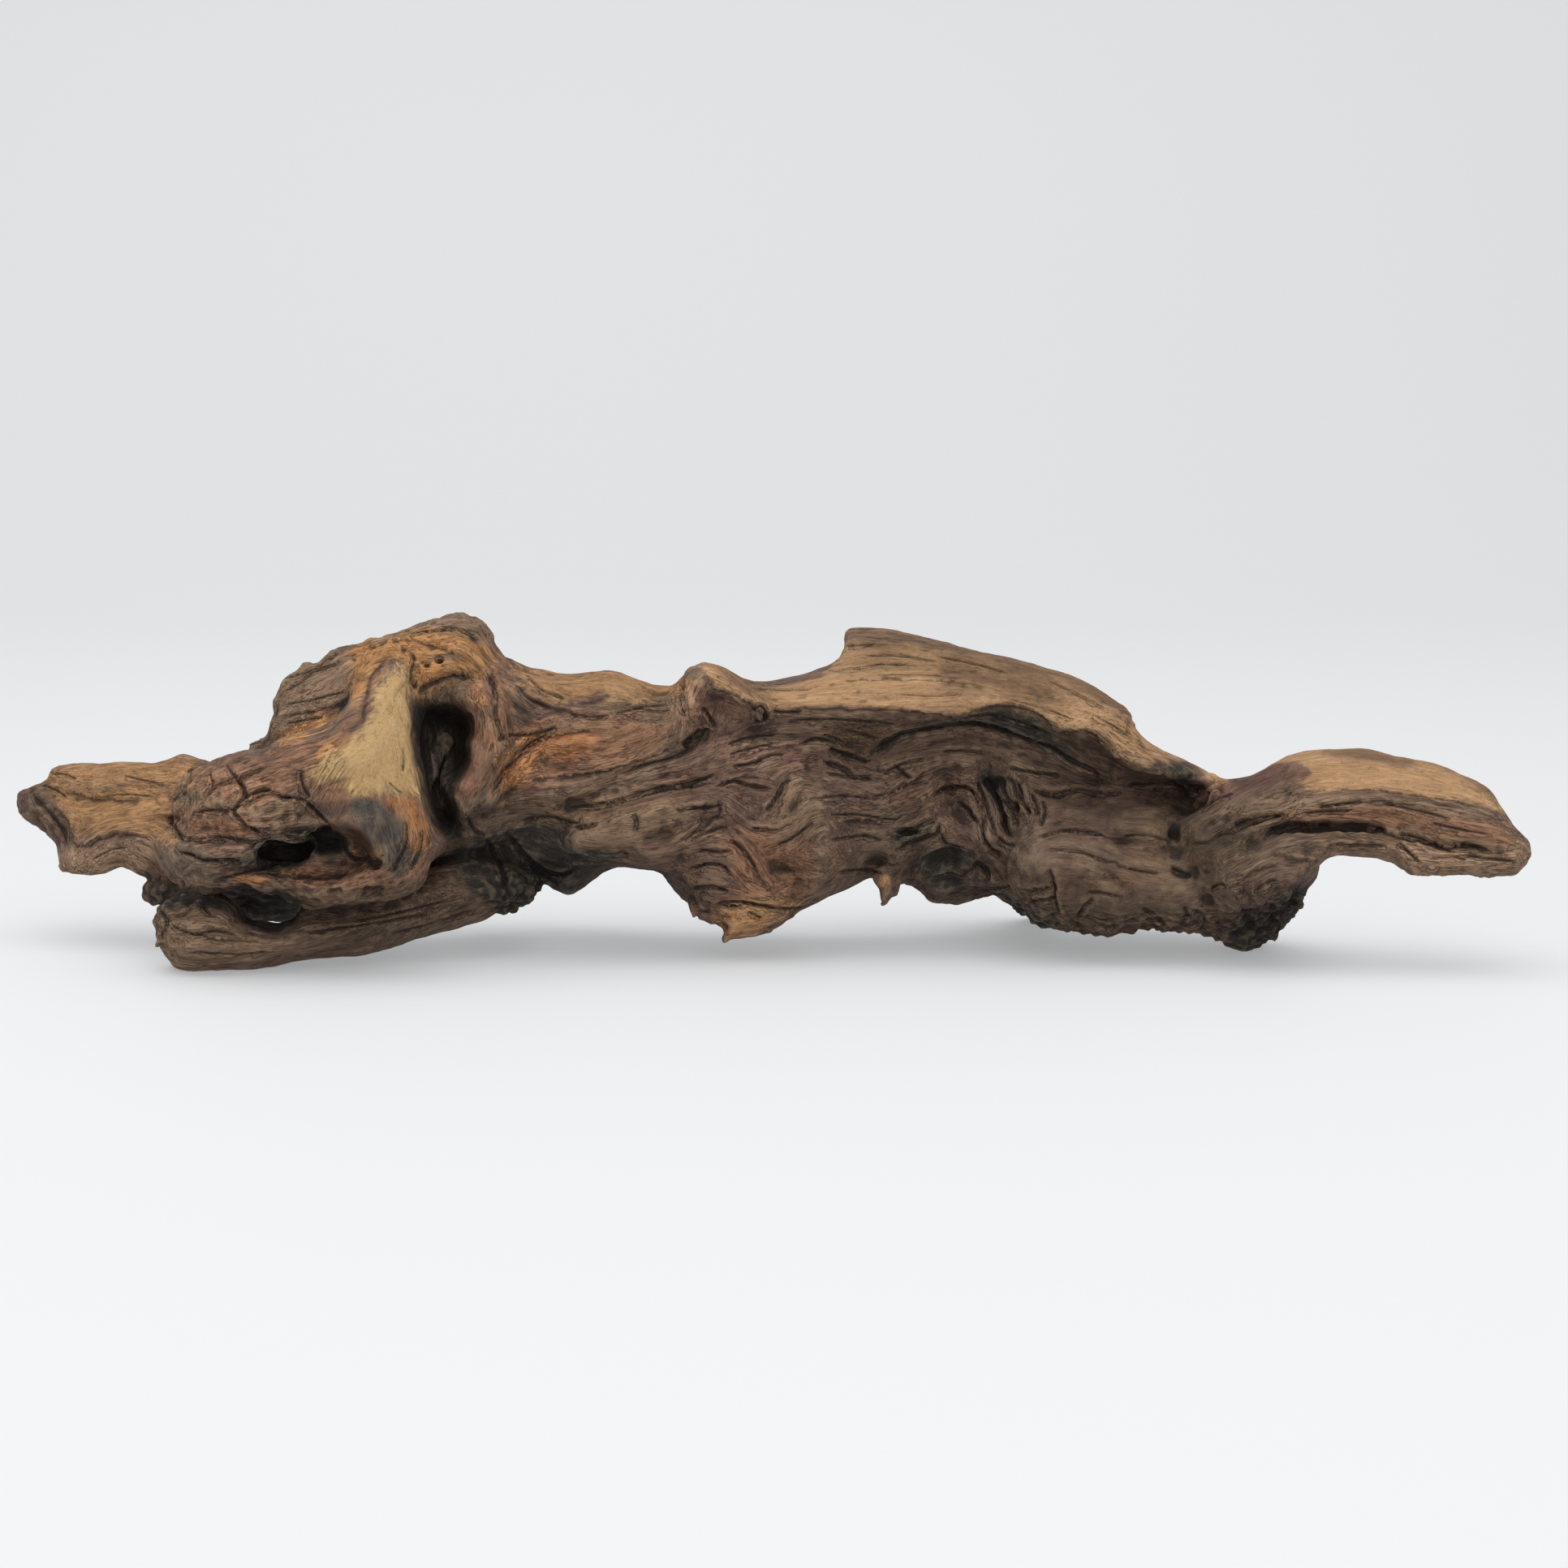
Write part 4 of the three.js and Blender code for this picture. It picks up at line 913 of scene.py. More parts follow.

# Where each colour of the wood lies on the near side, as closed outlines, with how soft the edge is. The
# blackest colour also serves as painted shade in hollows, gaps and under overhangs.
COLOURS = {
    "dun": [
        ([[330, 850], [352, 820], [385, 800], [430, 800], [440, 830], [428, 862], [400, 885], [340, 912],
          [325, 890]], 14),
        ([[690, 985], [780, 975], [832, 985], [850, 1020], [790, 1052], [740, 1052], [700, 1040]], 14),
        ([[750, 850], [800, 846], [845, 860], [840, 900], [800, 930], [740, 940], [745, 900]], 16),
        ([[215, 985], [260, 970], [330, 972], [380, 1000], [400, 1020], [330, 1022], [280, 1000],
          [230, 1010]], 12),
        ([[842, 850], [856, 828], [870, 850], [870, 895], [848, 915]], 10),
        ([[1460, 1010], [1560, 972], [1640, 975], [1800, 992], [1880, 1040], [1892, 1075], [1800, 1092],
          [1640, 1064], [1560, 1062], [1480, 1060]], 12),
        ([[205, 1125], [300, 1150], [420, 1155], [360, 1190], [215, 1192]], 16),
        ([[600, 760], [640, 830], [620, 840], [590, 790]], 8),
        ([[80, 1032], [112, 1044], [180, 1040], [176, 1070], [120, 1084], [70, 1080]], 8),
        ([[440, 785], [470, 768], [540, 752], [590, 756], [606, 790], [560, 782], [500, 788]], 9),
        ([[960, 960], [1010, 975], [1020, 1020], [980, 1034], [950, 1010]], 18),
        ([[1400, 985], [1450, 985], [1470, 1060], [1440, 1100], [1400, 1060]], 22),
    ],
    "clay": [
        ([[240, 940], [330, 935], [370, 960], [340, 985], [262, 985]], 12),
        ([[380, 950], [470, 974], [500, 1000], [440, 988], [395, 985]], 9),
        ([[612, 900], [660, 885], [760, 882], [830, 892], [800, 925], [700, 950], [620, 985],
          [604, 960]], 12),
        ([[886, 1030], [980, 1030], [1000, 1070], [990, 1110], [900, 1158], [880, 1130], [905, 1100]], 14),
        ([[1590, 1000], [1720, 996], [1850, 1020], [1850, 1040], [1720, 1020], [1600, 1012]], 5),
        ([[1020, 900], [1080, 895], [1100, 925], [1040, 930]], 14),
        ([[330, 925], [400, 912], [395, 948], [345, 955]], 8),
        ([[430, 1030], [470, 1030], [520, 1060], [480, 1090], [440, 1075]], 9),
        ([[590, 820], [625, 800], [632, 870], [622, 915], [600, 880]], 8),
        ([[498, 798], [486, 812], [470, 836], [460, 858], [454, 884], [440, 896], [412, 916], [396, 930],
          [378, 922], [418, 894], [440, 868], [450, 846], [462, 822], [476, 804]], 6),
        ([[565, 880], [590, 885], [600, 920], [598, 960], [575, 985], [555, 980], [572, 955],
          [580, 930]], 5),
        ([[215, 1000], [300, 1004], [300, 1035], [225, 1030]], 12),
        ([[360, 1060], [440, 1060], [520, 1050], [530, 1080], [440, 1100], [370, 1090]], 12),
    ],
    "rust": [
        ([[640, 906], [690, 900], [732, 906], [728, 926], [690, 936], [650, 928]], 7),
        ([[618, 940], [650, 925], [660, 940], [630, 972], [616, 968]], 7),
        ([[475, 985], [512, 980], [528, 1030], [515, 1050], [498, 1020]], 6),
        ([[290, 1080], [325, 1080], [322, 1094], [290, 1092]], 5),
        ([[1366, 902], [1400, 905], [1450, 938], [1420, 943], [1385, 936]], 6),
        ([[575, 838], [594, 836], [598, 872], [582, 870]], 6),
        ([[395, 920], [440, 905], [425, 925], [398, 940]], 6),
    ],
    "tan": [
        ([[60, 950], [100, 936], [230, 932], [240, 950], [215, 968], [120, 972], [62, 966]], 9),
        ([[60, 965], [120, 972], [212, 968], [205, 1010], [212, 1040], [160, 1024], [110, 1030],
          [84, 1015]], 9),
        ([[632, 822], [700, 820], [790, 826], [850, 836], [836, 852], [760, 862], [690, 866],
          [645, 850]], 10),
        ([[895, 1118], [975, 1112], [960, 1130], [915, 1156], [888, 1160]], 8),
        ([[1078, 1082], [1096, 1080], [1094, 1094], [1084, 1094]], 3),
    ],
    "gold": [
        ([[432, 800], [470, 790], [510, 778], [560, 780], [598, 796], [608, 818], [560, 806], [520, 818],
          [505, 826], [480, 812], [462, 826], [450, 850], [440, 866], [412, 888], [345, 918], [350, 902],
          [400, 880], [432, 852]], 8),
        ([[500, 822], [540, 812], [580, 816], [590, 835], [560, 846], [520, 862], [508, 850]], 6),
    ],
    "straw": [
        ([[478, 830], [503, 822], [506, 860], [507, 900], [512, 945], [518, 978], [490, 981], [470, 975],
          [450, 984], [420, 968], [380, 957], [396, 938], [425, 920], [448, 900], [458, 870],
          [466, 845]], 9),
    ],
    "sapwood": [
        ([[925, 850], [1000, 840], [1034, 806], [1040, 772], [1110, 766], [1240, 790], [1340, 826],
          [1402, 866], [1420, 905], [1480, 945], [1522, 968], [1492, 972], [1484, 955], [1470, 943],
          [1440, 938], [1404, 946], [1385, 935], [1365, 928], [1350, 902], [1303, 898], [1288, 884],
          [1262, 870], [1234, 867], [1206, 871], [1186, 880], [1150, 877], [1080, 873], [1000, 871],
          [945, 875]], 2.5),
        ([[1566, 940], [1596, 918], [1680, 910], [1790, 935], [1845, 970], [1866, 1004], [1830, 996],
          [1790, 987], [1740, 980], [1690, 973], [1622, 974], [1592, 962], [1616, 951], [1600, 941]], 2.5),
        ([[864, 820], [882, 814], [905, 824], [946, 860], [946, 876], [910, 858], [880, 843]], 4),
    ],
    "drift": [
        ([[1036, 770], [1110, 766], [1240, 790], [1340, 826], [1402, 866], [1396, 892], [1340, 860],
          [1270, 838], [1190, 812], [1130, 798], [1050, 800]], 12),
        ([[1160, 820], [1250, 830], [1320, 856], [1300, 875], [1240, 850], [1170, 850]], 16),
        ([[1625, 925], [1690, 922], [1735, 936], [1730, 945], [1660, 934]], 6),
        ([[1600, 914], [1700, 906], [1800, 934], [1860, 985], [1830, 978], [1780, 948], [1700, 918]], 6),
        ([[880, 812], [930, 838], [950, 862], [930, 860], [895, 834]], 6),
    ],
    "plum": [
        ([[1480, 962], [1500, 966], [1545, 948], [1600, 940], [1615, 951], [1592, 964], [1550, 970],
          [1518, 984], [1492, 996], [1480, 985]], 4),
        ([[845, 870], [868, 848], [925, 872], [915, 888], [868, 894], [846, 890]], 10),
        ([[566, 950], [590, 945], [592, 980], [560, 985]], 7),
    ],
    "slate": [
        ([[430, 985], [462, 980], [478, 1000], [500, 1006], [500, 1028], [490, 1042], [462, 1042],
          [450, 1030], [440, 1015]], 5),
        ([[412, 862], [432, 858], [430, 880], [414, 880]], 6),
        ([[480, 1045], [500, 1040], [510, 1060], [495, 1082], [475, 1070]], 8),
        ([[1562, 1024], [1600, 1024], [1640, 1040], [1620, 1054], [1590, 1056], [1564, 1046]], 8),
        ([[1206, 955], [1236, 952], [1244, 985], [1222, 990]], 8),
    ],
    "umber": [
        ([[925, 878], [1060, 880], [1180, 886], [1120, 906], [1070, 936], [1000, 925], [940, 905]], 16),
        ([[1060, 935], [1100, 912], [1200, 900], [1300, 935], [1380, 965], [1470, 975], [1400, 1000],
          [1280, 985], [1200, 950], [1120, 950]], 18),
        ([[1290, 898], [1350, 902], [1385, 935], [1470, 945], [1480, 975], [1380, 965], [1320, 940]], 9),
        ([[1100, 1010], [1140, 1000], [1160, 1030], [1230, 1050], [1290, 1090], [1300, 1140], [1240, 1110],
          [1150, 1110], [1110, 1080]], 14),
        ([[1250, 1095], [1420, 1110], [1530, 1120], [1600, 1095], [1600, 1150], [1300, 1150]], 22),
        ([[540, 1055], [600, 1020], [700, 1010], [780, 1050], [870, 1100], [840, 1120], [700, 1100],
          [560, 1110]], 14),
        ([[170, 1075], [240, 1100], [230, 1130], [180, 1120]], 8),
        ([[505, 868], [545, 832], [580, 832], [575, 860]], 9),
        ([[340, 1110], [480, 1095], [560, 1080], [600, 1110], [470, 1150], [350, 1160]], 12),
        ([[1555, 1020], [1700, 1022], [1760, 1060], [1640, 1062], [1560, 1055]], 10),
        ([[20, 985], [50, 968], [80, 1010], [86, 1040], [60, 1030], [20, 1010]], 8),
    ],
    # the blackest colour: black wood, and painted shade in the eye's hollow, the burl's hole, the gap over the
    # root, the low hollow, under the arch's overhang and on the underside below the trunk
    "char_and_painted_shade": [
        ([[575, 1092], [600, 1082], [650, 1082], [672, 1092], [652, 1120], [625, 1132], [598, 1112]], 5),
        ([[506, 878], [525, 870], [556, 868], [572, 880], [578, 900], [580, 925], [574, 950], [560, 974],
          [562, 1000], [572, 1020], [560, 1036], [546, 1024], [534, 990], [514, 940]], 3),
        ([[560, 1050], [600, 1020], [640, 1020], [700, 1018], [716, 1044], [760, 1054], [700, 1104],
          [665, 1098], [640, 1125], [600, 1115], [570, 1085]], 9),
        ([[300, 1052], [322, 1032], [350, 1024], [400, 1018], [424, 1034], [424, 1054], [385, 1060],
          [340, 1070], [290, 1064]], 5),
        ([[222, 1096], [265, 1102], [300, 1088], [335, 1096], [374, 1114], [352, 1144], [305, 1142],
          [282, 1122], [224, 1112]], 4),
        ([[172, 1092], [218, 1094], [224, 1112], [190, 1116]], 5),
        ([[1512, 1152], [1526, 1130], [1560, 1118], [1578, 1100], [1612, 1090], [1618, 1124], [1584, 1154],
          [1550, 1188], [1510, 1188]], 4),
        ([[1205, 956], [1225, 950], [1240, 962], [1240, 985], [1222, 990]], 7),
        ([[1130, 1060], [1145, 1046], [1190, 1048], [1198, 1062], [1186, 1076], [1190, 1092], [1160, 1100],
          [1142, 1082]], 6),
        ([[1098, 1026], [1140, 1018], [1146, 1030], [1104, 1044]], 4),
        ([[1190, 882], [1230, 876], [1262, 884], [1296, 902], [1330, 935], [1300, 926], [1250, 906],
          [1190, 896], [1120, 908], [1084, 926], [1110, 902]], 7),
        ([[1232, 1100], [1260, 1108], [1305, 1142], [1290, 1150], [1250, 1130]], 6),
        ([[1438, 1014], [1456, 1016], [1450, 1036], [1442, 1042]], 3),
        ([[1425, 944], [1450, 940], [1476, 962], [1462, 968], [1440, 960]], 6),
        ([[1445, 1070], [1468, 1074], [1466, 1082], [1450, 1082]], 4),
    ],
}

# Parts of the near side that are paler or darker than the rest: where, how far across, and by how much. Most
# set the wood's tone. Some paint light into places that lie in shade: the eye's hollow, the spur and the rim in
# it, the burl's hole, the underside below the trunk and a pit where the horn meets the haunch. One paints shade
# over the recess right of the burl's hole.
SHADES = [
    ([230, 1085], [22, 6], 0.9),
    ([275, 985], [70, 40], 0.35),
    ([325, 1003], [40, 14], 0.3),
    # painted light in the burl's hole
    ([345, 1046], [40, 18], 0.5),
    ([130, 1058], [70, 18], 0.9),
    ([450, 838], [16, 26], 0.4),
    ([450, 1150], [80, 14], -0.22),
    ([280, 1172], [60, 12], 0.2),
    ([635, 1100], [36, 24], -0.45),
    # painted light on the underside below the trunk, which lies in shade
    ([655, 1035], [48, 20], 2.0),
    ([1560, 1134], [46, 36], -0.45),
    ([385, 860], [50, 44], 0.25),
    ([485, 850], [14, 40], 0.1),
    ([592, 918], [13, 38], -0.2),
    # painted light on the eye's rim
    ([575, 960], [10, 24], 0.5),
    # painted shade over the recess right of the burl's hole
    ([404, 1044], [22, 13], -0.55),
    # painted light on the eye's rim, in the eye's hollow and on the spur inside it
    ([572, 968], [16, 10], 0.6),
    ([545, 930], [26, 60], 1.0),
    ([551, 935], [5, 34], 1.6),
    ([545, 1000], [14, 30], -0.2),
    ([740, 932], [120, 34], 0.45),
    ([765, 965], [70, 22], 0.75),
    ([640, 940], [40, 40], 0.3),
    ([1000, 985], [90, 50], -0.1),
    ([930, 926], [46, 16], 1.15),
    ([930, 960], [60, 30], 0.3),
    ([850, 872], [16, 30], 1.45),
    ([920, 1140], [50, 16], 0.55),
    ([980, 862], [60, 10], 0.14),
    ([1100, 850], [120, 16], 0.1),
    ([1230, 905], [120, 14], -0.1),
    ([1150, 795], [130, 18], -0.3),
    ([1150, 820], [110, 12], -0.3),
    ([1390, 1000], [90, 30], -0.4),
    # painted light in the pit where the horn meets the haunch
    ([1482, 975], [12, 16], 0.5),
    ([1500, 962], [20, 8], 0.25),
    ([1550, 962], [50, 12], -0.3),
    ([1510, 1038], [56, 34], -0.8),
    ([1710, 1052], [130, 18], 1.0),
    ([1720, 960], [110, 14], 0.06),
    ([1422, 1128], [6, 3], 2.5),
    ([1430, 1136], [5, 2], 2.0),
    ([1090, 1088], [7, 6], 0.15),
]


def within(marks, outline):
    """How far inside a closed outline each mark lies, and below zero outside."""
    run = run_of(outline, closed=True)
    off = np.abs(beside_run(marks, run)[0])
    inside = np.zeros(len(marks), bool)
    for (x0, y0), (x1, y1) in zip(run[:-1], run[1:]):
        if y0 == y1:
            continue
        crosses = (y0 > marks[:, 1]) != (y1 > marks[:, 1])
        inside ^= crosses & (marks[:, 0] < x0 + (marks[:, 1] - y0) * (x1 - x0) / (y1 - y0))
    return np.where(inside, off, -off)


def keep_on_wood(name, values):
    """Keeps a number or a direction for each point of the wood, for its material to read."""
    vector = values.ndim == 2
    layer = driftwood.data.attributes.new(name, "FLOAT_VECTOR" if vector else "FLOAT", "POINT")
    layer.data.foreach_set("vector" if vector else "value", values.astype(np.float32).ravel())


places, facing = read_wood()
even_facing = spread_over_neighbours(facing, 4)
even_facing /= np.linalg.norm(even_facing, axis=1, keepdims=True)
near = ease(-0.1, 0.15, even_facing @ -toward_wood)
marks = seen(places)
found, shares = in_the_fibres(places, marks)
for sheet in range(SHEETS):
    keep_on_wood(f"fibres_{sheet}", found[sheet])
    keep_on_wood(f"share_{sheet}", shares[sheet])

warp = np.stack([mottle(places / 5 + 21), mottle(places / 5 + 47)], axis=1) * 5
warp += np.stack([mottle(places / 2 + 31), mottle(places / 2 + 57)], axis=1) * 2.5
along_grain = fibres(found, shares, 14, 2.5)
MARGIN = 60  # how far round an outline its colour can reach, in points of the picture
DEEPEST = 2.0  # a place is this many soft edges inside or outside an outline at the most
PATCHES_BEHIND = {  # the far side's patches: their size in millimetres, where they start and how full they are
    "dun": ([50, 18, 18], 60, 0.0),
    "umber": ([40, 16, 16], 80, -0.5),
    "clay": ([45, 16, 16], 100, -0.6),
}
for colour, outlines in COLOURS.items():
    depth_in = np.full(len(places), -DEEPEST)
    for outline, soft in outlines:
        low, high = np.min(outline, 0) - MARGIN, np.max(outline, 0) + MARGIN
        close = np.flatnonzero(((marks > low) & (marks < high)).all(1))
        depth = within(marks[close] + warp[close], outline) / soft + along_grain[close] * 0.5
        depth_in[close] = np.maximum(depth_in[close], np.clip(depth, -DEEPEST, DEEPEST))
    far = np.full(len(places), -DEEPEST)
    if colour in PATCHES_BEHIND:
        size, start, fullness = PATCHES_BEHIND[colour]
        far = 4 * mottle(places / size + start) + fullness
    elif colour == "sapwood":
        top = ease(-0.1, 0.5, even_facing[:, 2])
        far = 4 * top * ease(-0.2, 0.2, mottle(places / [60, 30, 30]) + (places[:, 0] > 0) * 0.4 - 0.1) - 2
    # On the far side the blackest colour goes on low surfaces that face down: painted shade under the wood.
    elif colour == "char_and_painted_shade":
        low_down = ease(40, 5, places[:, 2]) * ease(0.1, -0.7, even_facing[:, 2])
        far = 3 * low_down * ease(-0.2, 0.3, mottle(places / 22 + 80)) - 1.8
    keep_on_wood(colour, depth_in * near + far * (1 - near))

# Places worn so smooth or so even that few fibres and hairlines show.
CALM = [
    ([470, 910], [50, 85], 1.0),
    ([455, 1010], [60, 40], 0.5),
    ([1710, 950], [150, 36], 0.75),
    ([1150, 840], [260, 50], 0.7),
    ([1385, 1055], [130, 80], 0.8),
    ([140, 990], [110, 50], 0.45),
    ([740, 850], [110, 34], 0.45),
    ([575, 930], [26, 50], 0.6),
    ([1020, 1060], [60, 30], 0.35),
    ([440, 1165], [240, 36], 0.35),
]
LEAST_CALM = 0.15
calm = np.full(len(places), LEAST_CALM)
for centre, size, amount in CALM:
    out = np.linalg.norm((marks - centre) / size, axis=1)
    calm = np.maximum(calm, amount * ease(1.3, 0.7, out) * near)
keep_on_wood("calm", calm)

shade = np.ones(len(places))
for centre, size, amount in SHADES:
    out = np.linalg.norm((marks + warp - centre) / size, axis=1)
    shade += amount * np.exp(-(out**2)) * near
shade += 0.10 * mottle(places / [30, 14, 14] + 130) + 0.06 * mottle(places / 7 + 150)
keep_on_wood("shade", shade)

# Painted shade: hollows are darkened, the deep ones most, and what stands out is made a little paler.
for name, times, deepest in (("hollow", 3, 0.2), ("sunk", 40, 1.4)):
    below = -np.einsum("ij,ij->i", places - spread_over_neighbours(places, times), even_facing)
    keep_on_wood(name, np.clip(below / deepest, -1, 1))

# Each check is also kept as a hairline: how far a place is from its middle, counted in half widths. Checks that
# lie close together are kept apart, in lines of their own.
HAIRLINES = 6
APART = 20.0
LONG_WAY = 12.0
HALF_CRACK = 0.028  # half a crack's width in millimetres, to a point of its mouth
HALF_CRACK_BEHIND = 0.11
strokes = [(run_of(line), marks, near, width * HALF_CRACK / POINT, APART, 0) for line, width, _ in CHECKS]
seen_behind = ease(0, 0.3, even_facing[:, 1])
strokes += [
    (run_of(line), places[:, [0, 2]], seen_behind, width * HALF_CRACK_BEHIND, APART * POINT, 1)
    for line, width, _ in CHECKS_BEHIND
]
kept_in = []
for run, _, _, _, apart, side in strokes:
    taken = [
        line
        for (other, _, _, _, _, other_side), line in zip(strokes, kept_in)
        if side == other_side and np.linalg.norm(run[:, None] - other[None], axis=2).min() < apart
    ]
    kept_in.append(min(range(HAIRLINES), key=lambda line: (taken.count(line), kept_in.count(line))))
hairlines = np.full((HAIRLINES, len(places)), LONG_WAY)
close_by = np.zeros(len(places))
for (run, where_seen, faces_it, half, reach, _), line in zip(strokes, kept_in):
    close = close_to(run, where_seen, reach, faces_it)
    beside, along, length = beside_run(where_seen[close], run)
    ends = ease(0, 0.25, along / length) * ease(0, 0.25, 1 - along / length)
    thick = half * np.sqrt(np.maximum(ends, 0.002))
    value = np.clip(beside / thick, -LONG_WAY, LONG_WAY)
    smaller = np.abs(value) < np.abs(hairlines[line, close])
    hairlines[line, close[smaller]] = value[smaller]
    close_by[close] = np.maximum(close_by[close], ease(0.6, 0.3, np.abs(beside) / reach) * faces_it[close])
keep_on_wood("hairlines_0", hairlines[:3].T)
keep_on_wood("hairlines_1", hairlines[3:].T)
keep_on_wood("close_by", close_by)

wood_look = bpy.data.materials.new("weathered_mopane")
wood_look.use_nodes = True
tree = wood_look.node_tree
tree.nodes.clear()


def put(kind, settings=None, **inputs):
    """Adds one node. Inputs are values or other nodes' outputs."""
    node = tree.nodes.new("ShaderNode" + kind)
    for name, value in (settings or {}).items():
        setattr(node, name, value)
    for name, value in inputs.items():
        socket = node.inputs[int(name[1:])] if name[1:].isdigit() else node.inputs[name.replace("_", " ")]
        if isinstance(value, bpy.types.NodeSocket):
            tree.links.new(value, socket)
        else:
            socket.default_value = value
    return node


def kept(name, output="Fac"):
    """What keep_on_wood kept under a name."""
    return put("Attribute", {"attribute_name": name, "attribute_type": "GEOMETRY"}).outputs[output]


def combine(how, a, b, clamp=False):
    """Sums with two numbers, as the Math node's operations name them."""
    return put("Math", {"operation": how, "use_clamp": clamp}, i0=a, i1=b).outputs[0]


def between(value, low, high, to_low=0.0, to_high=1.0):
    """Runs smoothly from to_low to to_high while the value runs from low to high."""
    smoothly = {"interpolation_type": "SMOOTHSTEP"}
    return put("MapRange", smoothly, i0=value, i1=low, i2=high, i3=to_low, i4=to_high).outputs[0]


def blend(share, first, second):
    """Goes from the first colour to the second as the share goes from 0 to 1."""
    return put("Mix", {"data_type": "RGBA"}, i0=share, i6=first, i7=second).outputs[2]


def noise(where, scale, detail=2.0, roughness=0.5):
    return put("TexNoise", Vector=where, Scale=scale, Detail=detail, Roughness=roughness).outputs["Fac"]


def grain_noise(long, wide, detail):
    """Noise about zero that runs with the fibres. Long and wide are a fibre's size in millimetres."""
    total = None
    pulled = (1 / long, 1 / wide, 1 / wide)
    for place, part in zip(fibre_places, fibre_shares):
        stretched = put("VectorMath", {"operation": "MULTIPLY"}, i0=place, i1=pulled)
        one = combine("SUBTRACT", noise(stretched.outputs[0], 1.0, detail, 0.55), 0.5)
        one = combine("MULTIPLY", one, part)
        total = one if total is None else combine("ADD", total, one)
    return total


def paint(code):
    """An sRGB colour code as the linear colour that a material takes."""
    parts = [int(code[i : i + 2], 16) / 255 for i in (0, 2, 4)]
    return (*[p / 12.92 if p <= 0.04045 else ((p + 0.055) / 1.055) ** 2.4 for p in parts], 1)


where = put("TexCoord").outputs["Object"]
fibre_places = [kept(f"fibres_{sheet}", "Vector") for sheet in range(SHEETS)]
fibre_shares = [kept(f"share_{sheet}") for sheet in range(SHEETS)]
fine = grain_noise(5.0, 0.42, 2.0)
broad = grain_noise(16.0, 1.7, 2.0)
speck = noise(where, 900.0, 3.0, 0.6)
patch = noise(where, 70.0, 3.0, 0.55)
cloud = noise(where, 24.0, 2.0, 0.5)
lively = between(kept("calm"), 0.0, 1.0, 1.0, 0.12)
streak = combine("ADD", combine("MULTIPLY", fine, 1.7), combine("MULTIPLY", broad, 1.6))
streak = combine("ADD", combine("MULTIPLY", streak, between(lively, 0.0, 1.0, 0.5, 1.0)), 0.5, clamp=True)

# The dark and the light fibres of each colour, and how far it covers what is under it.
TONES = [
    ("dun", "533f30", "8c7159", 0.95),
    ("clay", "543a2a", "91694f", 0.9),
    ("rust", "6e452c", "ae784a", 0.9),
    ("tan", "6f4f33", "a98056", 1.0),
    ("gold", "7a5432", "b98550", 1.0),
    ("straw", "98794f", "b7976a", 1.0),
    ("sapwood", "775b41", "b38b63", 1.0),
    ("drift", "4b3829", "846446", 0.95),
    ("plum", "452f29", "6b4a3c", 0.8),
    ("slate", "2c2926", "4d4842", 0.9),
    ("umber", "35291f", "624c3c", 0.8),
    # the blackest colour: black wood, and painted shade in hollows, gaps and under overhangs
    ("char_and_painted_shade", "1c1a17", "403a33", 0.96),
]
colour = blend(streak, paint("40302a"), paint("735849"))
greyer = blend(streak, paint("473a30"), paint("75614f"))
redder = blend(streak, paint("4c352b"), paint("80604a"))
colour = blend(between(cloud, 0.42, 0.62, 0.0, 0.7), colour, greyer)
colour = blend(between(patch, 0.5, 0.68, 0.0, 0.6), colour, redder)
ragged = combine("MULTIPLY", combine("SUBTRACT", patch, 0.5), 3.0)
ragged = combine("ADD", combine("MULTIPLY", broad, 3.0), ragged)
for name, dark, light, strength in TONES:
    inside = combine("ADD", kept(name), ragged)
    colour = blend(between(inside, -1.0, 1.0, 0.0, strength), colour, blend(streak, paint(dark), paint(light)))

# The hairlines: the checks one by one, and the finest ones between the fibres.
to_check = None
for name in ("hairlines_0", "hairlines_1"):
    off = put("VectorMath", {"operation": "ABSOLUTE"}, i0=kept(name, "Vector")).outputs[0]
    for part in put("SeparateXYZ", Vector=off).outputs:
        to_check = part if to_check is None else combine("MINIMUM", to_check, part)
waver = combine("ADD", fine, combine("SUBTRACT", speck, 0.5))
to_check = combine("ADD", to_check, combine("MULTIPLY", waver, 4.0))
to_check = combine("ADD", to_check, between(patch, 0.52, 0.62, 0.0, 2.0))
here = combine("MULTIPLY", kept("close_by"), between(lively, 0.0, 1.0, 0.45, 1.0))
check = combine("MULTIPLY", between(to_check, 1.8, 0.4), here)
mouth = combine("MULTIPLY", between(to_check, 7.0, 0.5), here)
thread = put("Math", {"operation": "ABSOLUTE"}, i0=broad).outputs[0]
thread = combine("MULTIPLY", between(thread, 0.04, 0.008), between(patch, 0.40, 0.54))
thread = combine("MULTIPLY", thread, lively)
hollow_here = kept("hollow")
sunk_here = kept("sunk")
# painted shade in hollows and sunk places, and a paler tint on what stands out
colour = blend(between(hollow_here, 0.1, 0.9, 0.0, 0.6), colour, paint("1e1815"))
colour = blend(between(sunk_here, 0.1, 1.0, 0.0, 0.45), colour, paint("231b16"))
colour = blend(between(hollow_here, -0.2, -1.0, 0.0, 0.18), colour, paint("a98f72"))
colour = blend(combine("MULTIPLY", thread, 0.62), colour, paint("1c1512"))
dark_fibre = combine("MULTIPLY", between(fine, -0.07, -0.2, 0.0, 0.5), lively)
colour = blend(dark_fibre, colour, paint("261c16"))
colour = blend(combine("MULTIPLY", mouth, 0.3), colour, paint("1c1512"))
colour = blend(combine("MULTIPLY", check, 0.85), colour, paint("0d0b0a"))
colour = blend(between(speck, 0.56, 0.72, 0.0, 0.35), colour, paint("2e241d"))
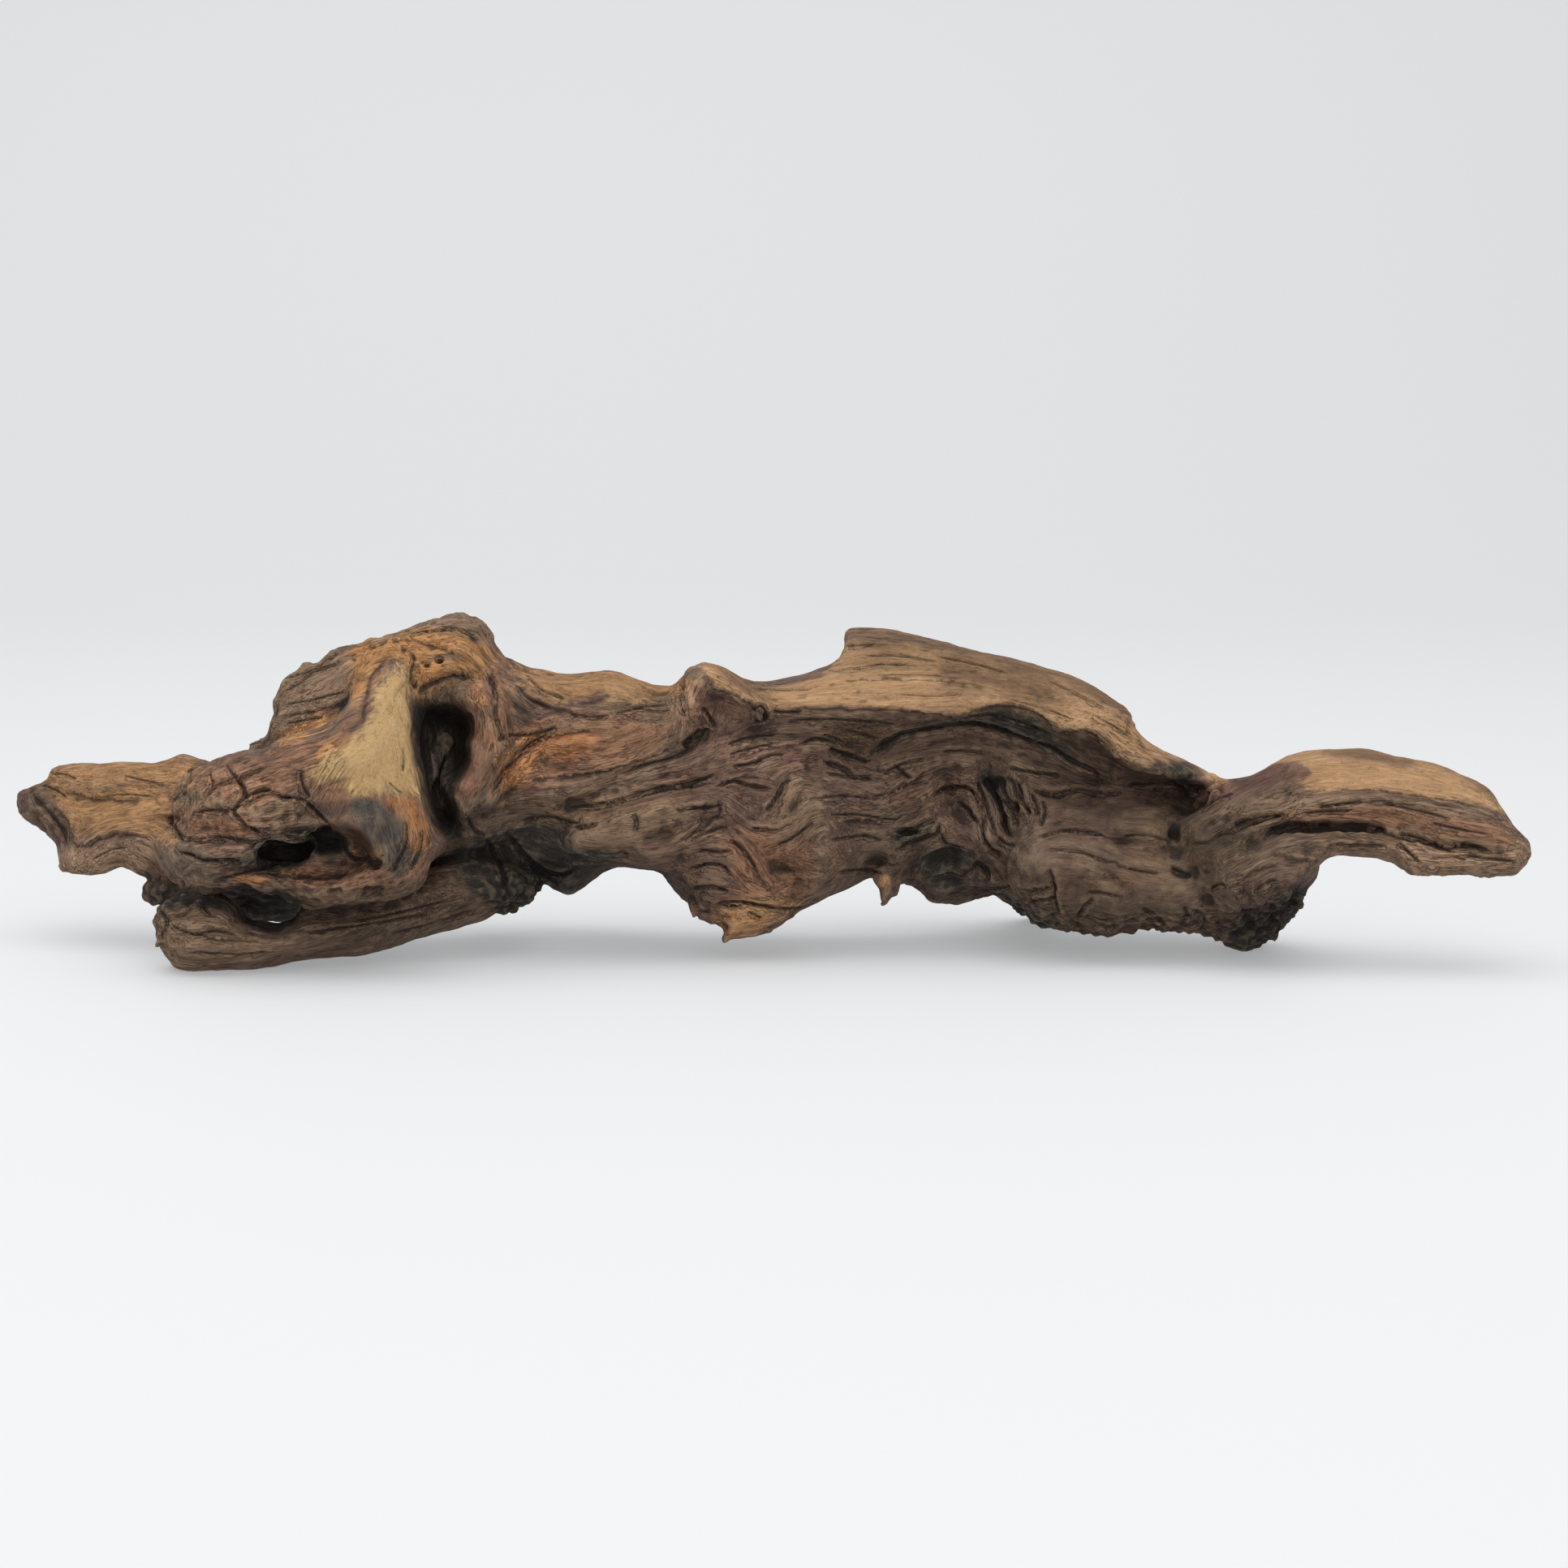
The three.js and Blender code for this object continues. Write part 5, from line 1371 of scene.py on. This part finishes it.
# the wood's tone, with the painted light and painted shade that SHADES sets
colour = put("HueSaturation", Color=colour, Value=kept("shade")).outputs[0]

height = combine("ADD", combine("MULTIPLY", fine, 0.55), combine("MULTIPLY", broad, 1.1))
height = combine("ADD", height, combine("MULTIPLY", speck, 0.25))
height = combine("SUBTRACT", height, combine("MULTIPLY", thread, 0.16))
height = combine("SUBTRACT", height, combine("MULTIPLY", mouth, 0.3))
bump = put("Bump", Strength=1.0, Distance=0.001, Height=height)
dryness = between(streak, 0.0, 1.0, 0.92, 0.74)
surface = put("BsdfPrincipled", Base_Color=colour, Roughness=dryness, Normal=bump.outputs[0])
surface.inputs["Specular IOR Level"].default_value = 0.25
output = put("OutputMaterial", Surface=surface.outputs[0])
driftwood.data.materials.clear()
driftwood.data.materials.append(wood_look)

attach(driftwood, "root")
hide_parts("mopani_wood")

# THE STAGE
# A pale table that sweeps up into a pale wall behind, under one broad soft light from above. The sweep
# also glows faintly: painted light that lightens the shadows on it and lights the wood from below.
SWEEP_FRONT = -1.6
SWEEP_BACK = 1.1
SWEEP_ROUND = 0.5
SWEEP_TOP = 2.2
SWEEP_WIDE = 5.0
DAYLIGHT = (0.97, 0.985, 1.0, 1)

bpy.ops.mesh.primitive_plane_add(size=1)
sweep = bpy.context.object
sweep.name = "sweep"
profile = [(SWEEP_FRONT, 0.0), (SWEEP_BACK, 0.0)]
profile += [
    (SWEEP_BACK + SWEEP_ROUND * math.sin(t), SWEEP_ROUND * (1 - math.cos(t)))
    for t in np.linspace(0, math.pi / 2, 13)[1:]
]
profile.append((SWEEP_BACK + SWEEP_ROUND, SWEEP_TOP))
corners = [(side * SWEEP_WIDE / 2, y, z) for y, z in profile for side in (-1, 1)]
sides = [(2 * k, 2 * k + 1, 2 * k + 3, 2 * k + 2) for k in range(len(profile) - 1)]
sweep.data.clear_geometry()
sweep.data.from_pydata(corners, [], sides)
sweep.data.shade_smooth()
paper = bpy.data.materials.new("pale_paper")
paper.use_nodes = True
paper_look = paper.node_tree.nodes["Principled BSDF"]
paper_look.inputs["Base Color"].default_value = (0.38, 0.385, 0.39, 1)
# painted light: the sweep glows faintly
paper_look.inputs["Emission Color"].default_value = DAYLIGHT
paper_look.inputs["Emission Strength"].default_value = 0.3
paper_look.inputs["Roughness"].default_value = 0.6
sweep.data.materials.append(paper)


def soft_light(name, place, aim, size, power):
    """A lamp with a broad face, for soft shadows."""
    lamp = bpy.data.lights.new(name, "AREA")
    lamp.shape = "RECTANGLE"
    lamp.size, lamp.size_y = size
    lamp.energy = power
    holder = bpy.data.objects.new(name, lamp)
    holder.location = place
    holder.rotation_euler = (Vector(aim) - Vector(place)).to_track_quat("-Z", "Y").to_euler()
    bpy.context.scene.collection.objects.link(holder)


soft_light("overhead", (-0.1, -0.1, 1.3), (0, 0, 0.05), (2.2, 1.8), 20)
soft_light("front_fill", (0.2, -1.5, 0.7), (0, 0, 0.05), (1.4, 1.0), 6)

sky = bpy.data.worlds.new("studio")
sky.use_nodes = True
sky.node_tree.nodes["Background"].inputs[0].default_value = DAYLIGHT
sky.node_tree.nodes["Background"].inputs[1].default_value = 0.75
bpy.context.scene.world = sky
bpy.context.scene.view_settings.view_transform = "Standard"
